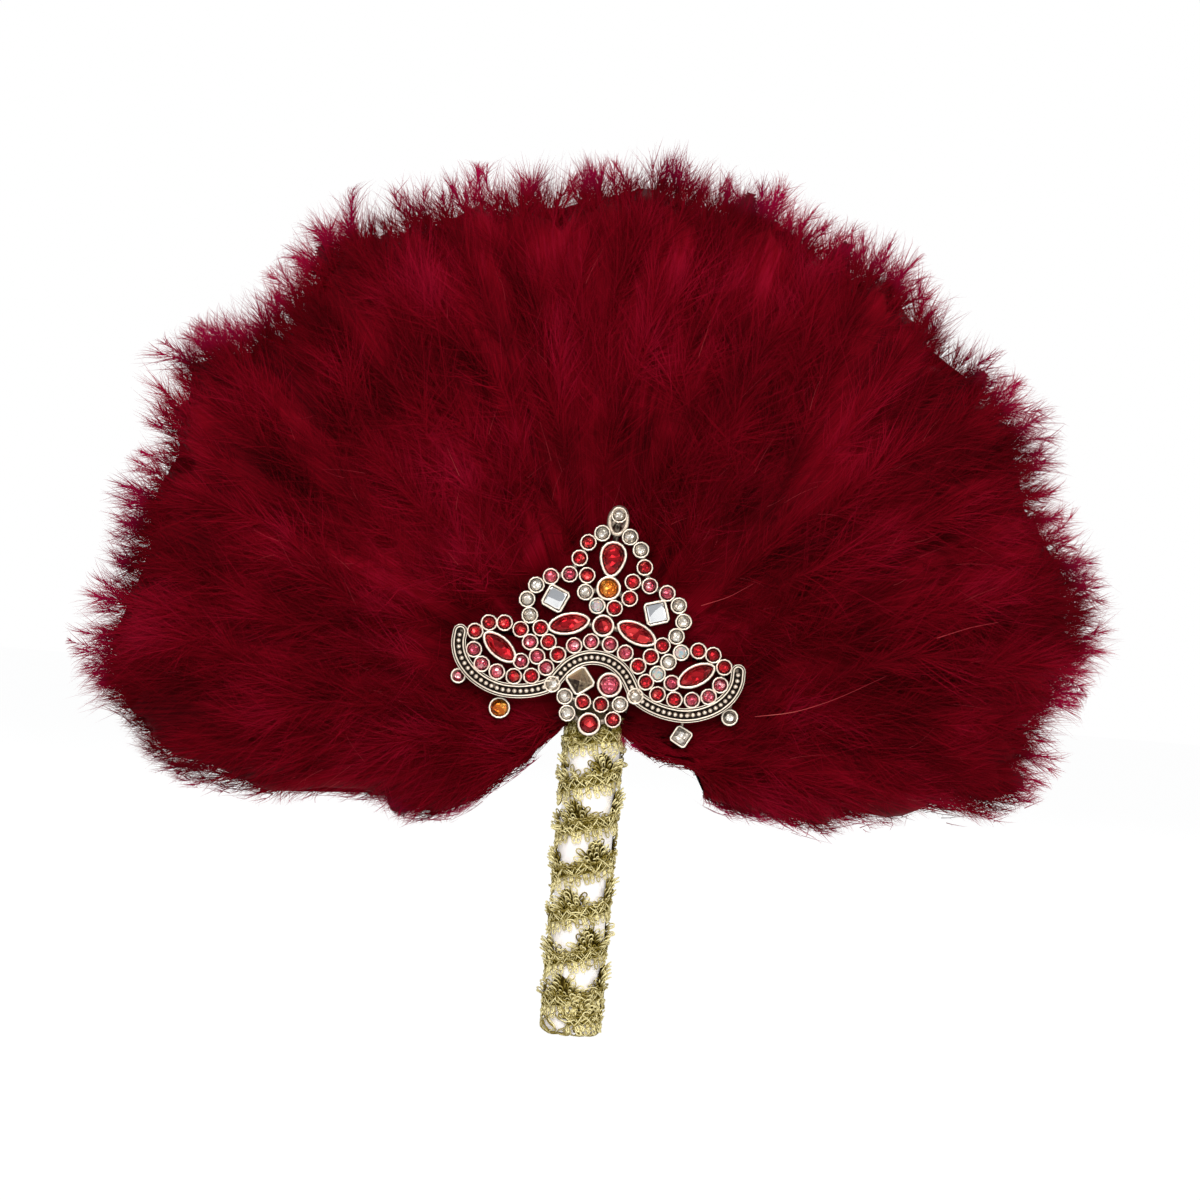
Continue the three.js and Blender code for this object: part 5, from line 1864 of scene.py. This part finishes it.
@dataclass
class Brooch:
    """The pierced metal brooch with its stones, rim and pad."""

    finishes: Finishes
    half_width: float = 54.0
    centre_z: float = 101.7
    turn: float = 3.6
    back: float = -12.3
    face: float = -15.5
    small_face: float = -15.45
    pad_back: float = -8.3
    pad_face: float = -12.0
    bezel_radius: float = 3.5
    bezel_wall: float = 0.9
    big_wall: float = 1.3
    rim_width: float = 5.6
    bead_radius: float = 0.9
    bead_pitch: float = 2.3
    bead_y: float = -15.05
    seat: float = -13.9
    girdle: float = -15.0
    mirror_half: float = 3.7
    stud_half: float = 3.6
    stud_turn: float = 40.0
    stud_place: tuple[float, float] = (-0.106, -0.413)
    nap: int = 9000
    seed: int = 8

    def placed(self, shell: Shell, share: tuple[float, float] = (0.0, 0.0)) -> Shell:
        """Moves a shell to its place on the brooch, and turns both with the brooch.

        Args:
            shell: Made round the brooch's centre, across along X and up along Z.
            share: Its place, as shares of the brooch's half width.

        Returns:
            The same shell.
        """
        across = shell.points[:, 0] + share[0] * self.half_width
        up = shell.points[:, 2] + share[1] * self.half_width
        turn = math.radians(self.turn)
        shell.points[:, 0] = across * math.cos(turn) + up * math.sin(turn)
        shell.points[:, 2] = self.centre_z - across * math.sin(turn) + up * math.cos(turn)
        return shell

    @staticmethod
    def turned(outline: Array, degrees: float) -> Array:
        """Turns an outline anticlockwise as seen from the front."""
        angle = math.radians(degrees)
        spin = np.array([[math.cos(angle), math.sin(angle)], [-math.sin(angle), math.cos(angle)]])
        return outline @ spin

    def big_jewels(self) -> list[Jewel]:
        """Lists the large stones, which stand for nodes of their own."""
        wall = self.big_wall
        jewels = [
            Jewel((0, 0), ellipse(3.4, 3.4), Stone.RED, wall, "centre_stone"),
            Jewel((0, 0.27), ellipse(3.8, 3.8), Stone.AMBER, wall, "amber_stone"),
            Jewel((0, 0.48), ellipse(4.1, 6.1, 18, 1.0, 0.28), Stone.RED, wall, "teardrop_stone"),
            Jewel((0, -0.71), ellipse(3.5, 3.5), Stone.RED, wall, "lower_stone"),
            Jewel((0.106, -0.413), ellipse(3.9, 3.9), Stone.PINK, wall, "pink_stone"),
        ]
        mirror = square(self.mirror_half)
        marquise = ellipse(7.4, 3.3, 18, 1.3)
        for name, (across, up), outline, tilts in (
            ("mirror", (0.365, 0.145), mirror, (69, 20)),
            ("marquise", (0.245, -0.02), marquise, (18.5, -18.5)),
            ("wing_marquise", (0.71, -0.257), marquise * 0.98, (-34.5, 34.5)),
        ):
            colour, rim = (Stone.MIRROR, wall - 0.2) if name == "mirror" else (Stone.RED, wall)
            for side, word, tilt in zip((-1, 1), ("left", "right"), tilts):
                turned = self.turned(outline, tilt)
                jewels.append(Jewel((side * across, up), turned, colour, rim, f"{name}_{word}"))
        return jewels

    def small_jewels(self) -> list[Jewel]:
        """Lists the small round stones of both sides."""
        radius = self.bezel_radius - self.bezel_wall
        outline = ellipse(radius, radius, 12)
        jewels = [
            Jewel((side * across, up), outline, Stone(letter), self.bezel_wall)
            for across, up, letters in SMALL_STONES
            for side, letter in zip((-1, 1), letters)
        ]
        return jewels + [Jewel((0.0, 0.8), ellipse(2.5, 2.5, 12), Stone.CLEAR, 0.9)]

    def links(self) -> Shell:
        """Makes round bars between neighbouring stones."""
        runs = [[SMALL_STONES[p][:2] if isinstance(p, int) else p for p in run] for run in LINKS]
        ends = [
            [(side * a, b), (side * c, d)]
            for run in runs for (a, b), (c, d) in zip(run, run[1:]) for side in (-1, 1)
        ]
        pairs = np.array(ends, float) * self.half_width
        way = np.linspace(0, 1, 4)[None, :, None]
        flat = pairs[:, :1] * (1 - way) + pairs[:, 1:] * way
        return threads(standing(flat, self.back - 1.6), 1.1, 8).valued(recess=0.6)

    def rims(self) -> list[Array]:
        """Returns the middle lines of the two wings' rims and of the arch."""
        right, arch = (np.array(line, float) * self.half_width for line in (RIM, ARCH))
        flip = np.array([-1.0, 1.0])
        whole = np.concatenate([arch, (arch * flip)[::-1][1:]])
        return [smooth_path(run, 0.8) for run in (right, right * flip, whole)]

    def rail(self, middle: Array) -> Shell:
        """Makes one rim: a channel with a round rail along each edge.

        Args:
            middle: Its middle line.

        Returns:
            The shell, with the value recess.
        """
        ahead = unit(np.gradient(middle, axis=0))
        aside = np.stack([ahead[:, 1], -ahead[:, 0]], -1)
        half = self.rim_width / 2
        turn = np.linspace(0, np.pi / 2, 6)[1:-1]
        before = middle[0] - half * np.sin(turn[::-1, None]) * ahead[0]
        after = middle[-1] + half * np.sin(turn[:, None]) * ahead[-1]
        line = np.concatenate([before, middle, after])
        share = np.concatenate([np.cos(turn[::-1]), np.ones(len(middle)), np.cos(turn)])[:, None]
        side = share * np.concatenate([np.tile(aside[0], (4, 1)), aside, np.tile(aside[-1], (4, 1))])
        section = [(-half, self.back), (-half, -14.9), (-1.65, -15.0), (-1.6, -13.9), (1.6, -13.9),
                   (1.65, -15.0), (half, -14.9), (half, self.back)]
        corners = [standing(line + out * side, deep) for out, deep in section]
        channel = closed_grid(np.stack(corners, 1))
        dark = [1.0, 1.0, 1.1, 1.1, 1.1, 1.1, 1.0, 1.0]
        channel.valued(recess=np.concatenate([np.tile(dark, len(line)), [0.7, 0.7]]))
        parts = [channel]
        round_end = np.linspace(0, np.pi, 9)[1:-1, None]
        for inset, radius in ((0.18, 0.17), (1.02, 0.31)):
            out = half - inset
            last = middle[-1] + out * (np.cos(round_end) * aside[-1] + np.sin(round_end) * ahead[-1])
            first = middle[0] - out * (np.cos(round_end) * aside[0] + np.sin(round_end) * ahead[0])
            loop = np.concatenate([middle + out * aside, last, (middle - out * aside)[::-1], first])
            path = standing(loop, self.bead_y)[None]
            parts.append(threads(path, radius, 8, closed=True).valued(recess=-0.2, pale=0.5))
        return joined(parts)

    def beads(self) -> Shell:
        """Sets round beads in the channels, an even pitch apart."""
        spots = []
        for middle in self.rims():
            arc = arc_lengths(middle)
            at = np.arange(self.bead_pitch * 0.6, arc[-1] - self.bead_pitch * 0.4, self.bead_pitch)
            spots.append(points_at(middle, arc, at))
        radius = self.bead_radius
        rings = [
            (ellipse(1, 1, 10) * np.sin(fall) * radius, -radius * np.cos(fall))
            for fall in np.linspace(0.15, np.pi - 0.15, 6)
        ]
        ball = stacked(rings)
        centres = standing(np.concatenate(spots), self.bead_y)
        balls = [Shell(ball.points + centre, ball.quads, ball.triangles) for centre in centres]
        return joined(balls).valued(recess=-0.4, pale=0.9)

    def stud_outline(self) -> Array:
        """Returns the outline of the square stud."""
        return self.turned(square(self.stud_half), self.stud_turn)

    def casting(self, rng: Rng) -> Shell:
        """Makes all the metal of the brooch but the beads.

        Args:
            rng: Where chance comes from.

        Returns:
            The shell, in place.
        """
        parts = [self.placed(part) for part in [self.links(), *map(self.rail, self.rims())]]
        for jewel in self.small_jewels() + self.big_jewels():
            lump = rng.normal(0, 0.07, len(jewel.outline))
            face = (self.face if jewel.node else self.small_face) - rng.uniform(0, 0.2)
            setting = bezel(jewel.outline, jewel.wall, self.back, face, lump)
            parts.append(self.placed(setting, jewel.place))
        path = standing(ellipse(3.4, 5.2, 24) - [0.0, 1.0], -14.2)[None]
        loop = threads(path, 1.0, 8, closed=True).valued(recess=0.25)
        parts.append(self.placed(loop, (0.0, 0.775)))
        stud = bezel(self.stud_outline(), self.big_wall, self.back, self.face, np.zeros(16))
        parts.append(self.placed(stud, self.stud_place))
        for drop in DROPS:
            path = np.array([[[0, -8.3, 0], [0, -10.0, 0], [0, -12.5, 0]]], float)
            pin = threads(path, 0.5, 8, up=UPWARD)
            head = stacked([(ellipse(1.3, 1.3, 12), depth) for depth in (-8.25, -8.6)])
            parts += [self.placed(part.valued(recess=0.5), drop.pin) for part in (pin, head)]
        return joined(parts)

    def stones(self, rng: Rng) -> None:
        """Cuts the stones: one piece for each large one and one for each colour of small ones."""
        for jewel in self.big_jewels():
            top, table = (-15.7, 0.82) if jewel.colour is Stone.MIRROR else (-16.9, 0.56)
            stone = gem(jewel.outline * 0.95, self.seat, self.girdle, top, table)
            stone = self.placed(stone.valued(tone=rng.uniform(0, 0.6)), jewel.place)
            finish = "large_red_glass" if jewel.colour is Stone.RED else jewel.colour.glass
            make_piece(
                stone, f"cut_{jewel.node}", self.finishes[finish],
                replaces=[jewel.node], smooth=False,
            )
        groups: dict[Stone, list[Shell]] = {}
        for jewel in self.small_jewels():
            stone = gem(jewel.outline * 0.91, -14.3, -14.95, -16.2 - rng.uniform(0, 0.1))
            stone = self.placed(stone.valued(tone=rng.uniform(0, 0.9)), jewel.place)
            groups.setdefault(jewel.colour, []).append(stone)
        for colour, shells in groups.items():
            make_piece(
                joined(shells), f"small_stones_{colour.name.lower()}",
                self.finishes[colour.glass], smooth=False,
            )

    def pad(self, rng: Rng) -> Shell:
        """Makes the felt pad with a short nap that fills the gaps between the settings."""
        right = np.array([*PAD, (0.14, -0.57)], float)
        line = np.concatenate([right, (right * np.array([-1.0, 1.0]))[::-1]])[::-1] * self.half_width
        felt = stacked([
            (grown(line, -0.6), self.pad_back), (line, -9.0), (line, -11.2),
            (grown(line, -0.8), self.pad_face),
        ])
        spot = rng.uniform(-1, 1, (self.nap * 3, 2)) * np.array([0.9, 0.75]) * self.half_width
        spot = spot[inside(spot, line)][:self.nap]
        base = standing(spot, self.pad_face + 0.2)
        lean = rng.normal(0, 1, base.shape) * np.array([1, 0, 1])
        lean = unit(lean + FORWARD * rng.uniform(0.2, 1.2, (len(spot), 1)))
        tip = base + lean * rng.uniform(2.0, 3.6, (len(spot), 1))
        aside = 0.14 * unit(np.cross(lean, rng.normal(0, 1, base.shape)))
        points = np.stack([base - aside, base + aside, tip], 1).reshape(-1, 3)
        nap = Shell(points, triangles=np.arange(len(points)).reshape(-1, 3))
        nap.valued(along=np.tile([0.1, 0.1, 0.6], len(spot)), tone=0.3)
        return self.placed(joined([felt.valued(along=0.1, tone=0.2), nap]))

    def build(self) -> None:
        """Builds the brooch."""
        rng = np.random.default_rng(self.seed)
        metal = self.finishes["antique_metal"]
        make_piece(
            self.casting(rng), "casting", metal, replaces=["brooch_frame"]
        )
        make_piece(self.placed(self.beads()), "seed_beads", metal)
        self.stones(rng)
        make_piece(
            self.pad(rng), "felt_pad", self.finishes["dyed_down"], replaces=["brooch_pad"]
        )
        corners = self.stud_outline()
        stud = stacked([(corners, self.seat), (corners, -15.4), (corners * 0.08, -18.7)])
        # each facet's darkness is painted shade for the way it faces the light: upper right, upper left,
        # lower left, lower right
        facets = np.repeat([0.35, 0.0, 0.75, 0.5], 4)
        stud.valued(recess=np.concatenate([np.tile(facets, 3), [0.5, 0.3]]))
        make_piece(
            self.placed(stud, self.stud_place), "bronze_pyramid",
            self.finishes["bronze_stud"], replaces=["pyramid_stud"], smooth=False,
        )


def inside(points: Array, outline: Array) -> Array:
    """Tells which points lie inside a closed outline, by how often a level ray crosses it."""
    start, end = outline[None], np.roll(outline, -1, 0)[None]
    x, y = points[:, :1], points[:, 1:]
    spans = (start[..., 1] > y) != (end[..., 1] > y)
    rise = np.where(end[..., 1] == start[..., 1], 1e-9, end[..., 1] - start[..., 1])
    crossing = start[..., 0] + (y - start[..., 1]) * (end[..., 0] - start[..., 0]) / rise
    return (spans & (x < crossing)).sum(1) % 2 == 1


# Drops

@dataclass(frozen=True)
class Drop:
    """One stone that hangs on a pin behind the rim."""

    side: str
    pin: tuple[float, float]
    pivot: tuple[float, float]
    hang: float
    size: float
    square: bool
    colour: Stone

    def outline(self, margin: float = 0.0) -> Array:
        """Returns the setting's outline, made smaller by a margin."""
        size = self.size - margin
        return Brooch.turned(square(size), -29) if self.square else ellipse(size, size, 14)


DROPS = [
    Drop("left_outer", (-0.985, -0.375), (-54.357, 84.83), 7.07, 3.19, False, Stone.PINK),
    Drop("left_lower", (-0.66, -0.56), (-37.468, 73.758), 7.02, 4.37, False, Stone.AMBER),
    Drop("right_lower", (0.66, -0.56), (33.671, 69.282), 7.99, 3.73, True, Stone.CLEAR),
    Drop("right_outer", (0.985, -0.385), (51.78, 77.611), 7.4, 3.51, False, Stone.CLEAR),
]


@dataclass
class Drops:
    """The four drops, each with its setting and stone."""

    finishes: Finishes
    back: float = -8.9
    face: float = -10.1
    stone_top: float = -11.1
    wall: float = 0.85
    eye_radius: float = 1.35
    wire: float = 0.48

    def setting(self, drop: Drop) -> Shell:
        """Makes a cup, the ring that hangs on the pin and the neck between them."""
        outline = drop.outline(self.wall)
        cup = bezel(outline, self.wall, self.back, self.face - 0.15, np.zeros(len(outline)))
        cup.points[:, 2] -= drop.hang
        middle = (self.back + self.face) / 2
        eye = standing(ellipse(self.eye_radius, self.eye_radius, 20), middle)[None]
        low = -drop.hang + drop.size - 0.3
        heights = (low, (low - self.eye_radius) / 2, -self.eye_radius)
        neck = np.array([[[0, middle, height] for height in heights]])
        return joined([
            cup, threads(eye, self.wire, 8, closed=True).valued(recess=0.2),
            threads(neck, 0.55, 8).valued(recess=0.4),
        ])

    def build(self) -> None:
        """Makes each drop on its own body."""
        for drop in DROPS:
            place = np.array([drop.pivot[0], 0.0, drop.pivot[1]])
            body = f"{drop.side}_drop"
            setting = self.setting(drop)
            setting.points += place
            make_piece(
                setting, f"{drop.side}_cup", self.finishes["antique_metal"],
                body=body, replaces=[f"drop_setting_{drop.side}"],
            )
            stone = gem(drop.outline(self.wall) * 0.94, -9.5, -10.0, self.stone_top)
            stone.points[:, 2] -= drop.hang
            stone.points += place
            make_piece(
                stone.valued(tone=0.6), f"{drop.side}_glass",
                self.finishes[drop.colour.glass], body=body,
                replaces=[f"drop_stone_{drop.side}"], smooth=False,
            )


# Stage

@dataclass
class Studio:
    """Floor, lights and camera."""

    frame_width: float = 468.0
    distance: float = 1500.0
    roll: float = 4.7
    aim: tuple[float, float] = (-2.0, 111.5)
    sensor: float = 36.0
    floor_z: float = -0.075

    def floor(self) -> None:
        """Lays a wide pale floor that the camera sees as nearly white."""
        mesh = bpy.data.meshes.new("floor")
        half = 6.0
        corners = [(half * x, half * y, self.floor_z) for x, y in ((-1, -1), (1, -1), (1, 1), (-1, 1))]
        mesh.from_pydata(corners, [], [(0, 1, 2, 3)])
        tree = Tree("pale_floor")
        path, gloss, clear = (tree.ray(kind) for kind in ("Camera", "Glossy", "Transmission"))
        seen = tree.node("ShaderNodeMath", {"operation": "ADD", "use_clamp": True},
                         {0: path, 1: gloss + clear})
        matt = tree.node("ShaderNodeBsdfDiffuse", inputs={"Color": (0.8, 0.8, 0.8, 1.0)})
        glow = tree.node("ShaderNodeEmission", inputs={"Color": (1, 1, 1, 1), "Strength": 1.06})
        surface = tree.node("ShaderNodeMixShader", inputs={0: seen * 0.9, 1: matt, 2: glow})
        tree.node("ShaderNodeOutputMaterial", inputs={"Surface": surface})
        mesh.materials.append(tree.owner)
        floor = new_object("floor", mesh)

    def world(self) -> None:
        """Shows white behind the fan and lights it softly from all round."""
        world = bpy.data.worlds.new("studio")
        bpy.context.scene.world = world
        tree = Tree("studio", world)
        seen = tree.ray("Camera") + tree.ray("Transmission")
        soft, white = (
            tree.node("ShaderNodeBackground", inputs={"Color": colour, "Strength": strength})
            for colour, strength in (((0.93, 0.95, 1.0, 1.0), 0.42), ((1, 1, 1, 1), 1.0))
        )
        surface = tree.node("ShaderNodeMixShader", inputs={0: seen, 1: soft, 2: white})
        tree.node("ShaderNodeOutputWorld", inputs={"Surface": surface})

    def lamp(self, name: str, place: Place, size: float, power: float) -> None:
        """Adds a soft lamp aimed at the fan.

        Args:
            name: Its name.
            place: Where it stands, in metres.
            size: The side of its square, in metres.
            power: Its power in watts.
        """
        data = bpy.data.lights.new(name, "AREA")
        data.size = size
        data.energy = power
        lamp = new_object(name, data)
        lamp.location = place
        aim = Vector((0.0, 0.0, 0.1)) - Vector(place)
        lamp.rotation_euler = aim.to_track_quat("-Z", "Y").to_euler()

    def camera(self) -> None:
        """Sets the camera square to the fan, rolled so that the stick leans as photographed."""
        data = bpy.data.cameras.new("camera")
        data.sensor_width = self.sensor
        data.lens = self.sensor * self.distance / self.frame_width
        data.clip_end = 50.0
        camera = new_object("camera", data)
        upright = Matrix.Rotation(math.radians(90), 4, "X")
        rolled = Matrix.Rotation(math.radians(-self.roll), 4, "Y")
        across, up = self.aim
        place = Matrix.Translation(Vector((across, -self.distance, up)) * METRES)
        camera.matrix_world = place @ rolled @ upright
        bpy.context.scene.camera = camera

    def build(self) -> None:
        """Sets the whole stage."""
        self.camera()
        self.floor()
        self.world()
        self.lamp("key", (-0.3, -1.6, 1.0), 1.2, 27.0)
        self.lamp("fill", (1.5, -1.4, 0.2), 1.6, 20.0)
        self.lamp("rim", (0.3, 1.6, 1.4), 1.2, 16.0)
        bpy.context.scene.view_settings.view_transform = "Standard"


def main() -> None:
    """Builds the fan piece by piece and logs how many nodes the frame has."""
    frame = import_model()
    finishes = all_finishes()
    Studio().build()
    plumage = Plumage(finishes)
    plumage.build()
    StrayBarbs(finishes, plumage).build()
    StiffFeathers(finishes, plumage).build()
    Grip(finishes).build()
    Lace(finishes).build()
    Brooch(finishes).build()
    Drops(finishes).build()
    kept = {"handle_dowel": "stick_wood", "fan_board": "grey_card", "back_patch": "backing_felt"}
    for name, finish in kept.items():
        for slot in frame["nodes"][name].material_slots:
            slot.material = finishes[finish]
    log.info("nodes in the frame: %d", len(frame["nodes"]))


if __name__ == "__main__":
    main()
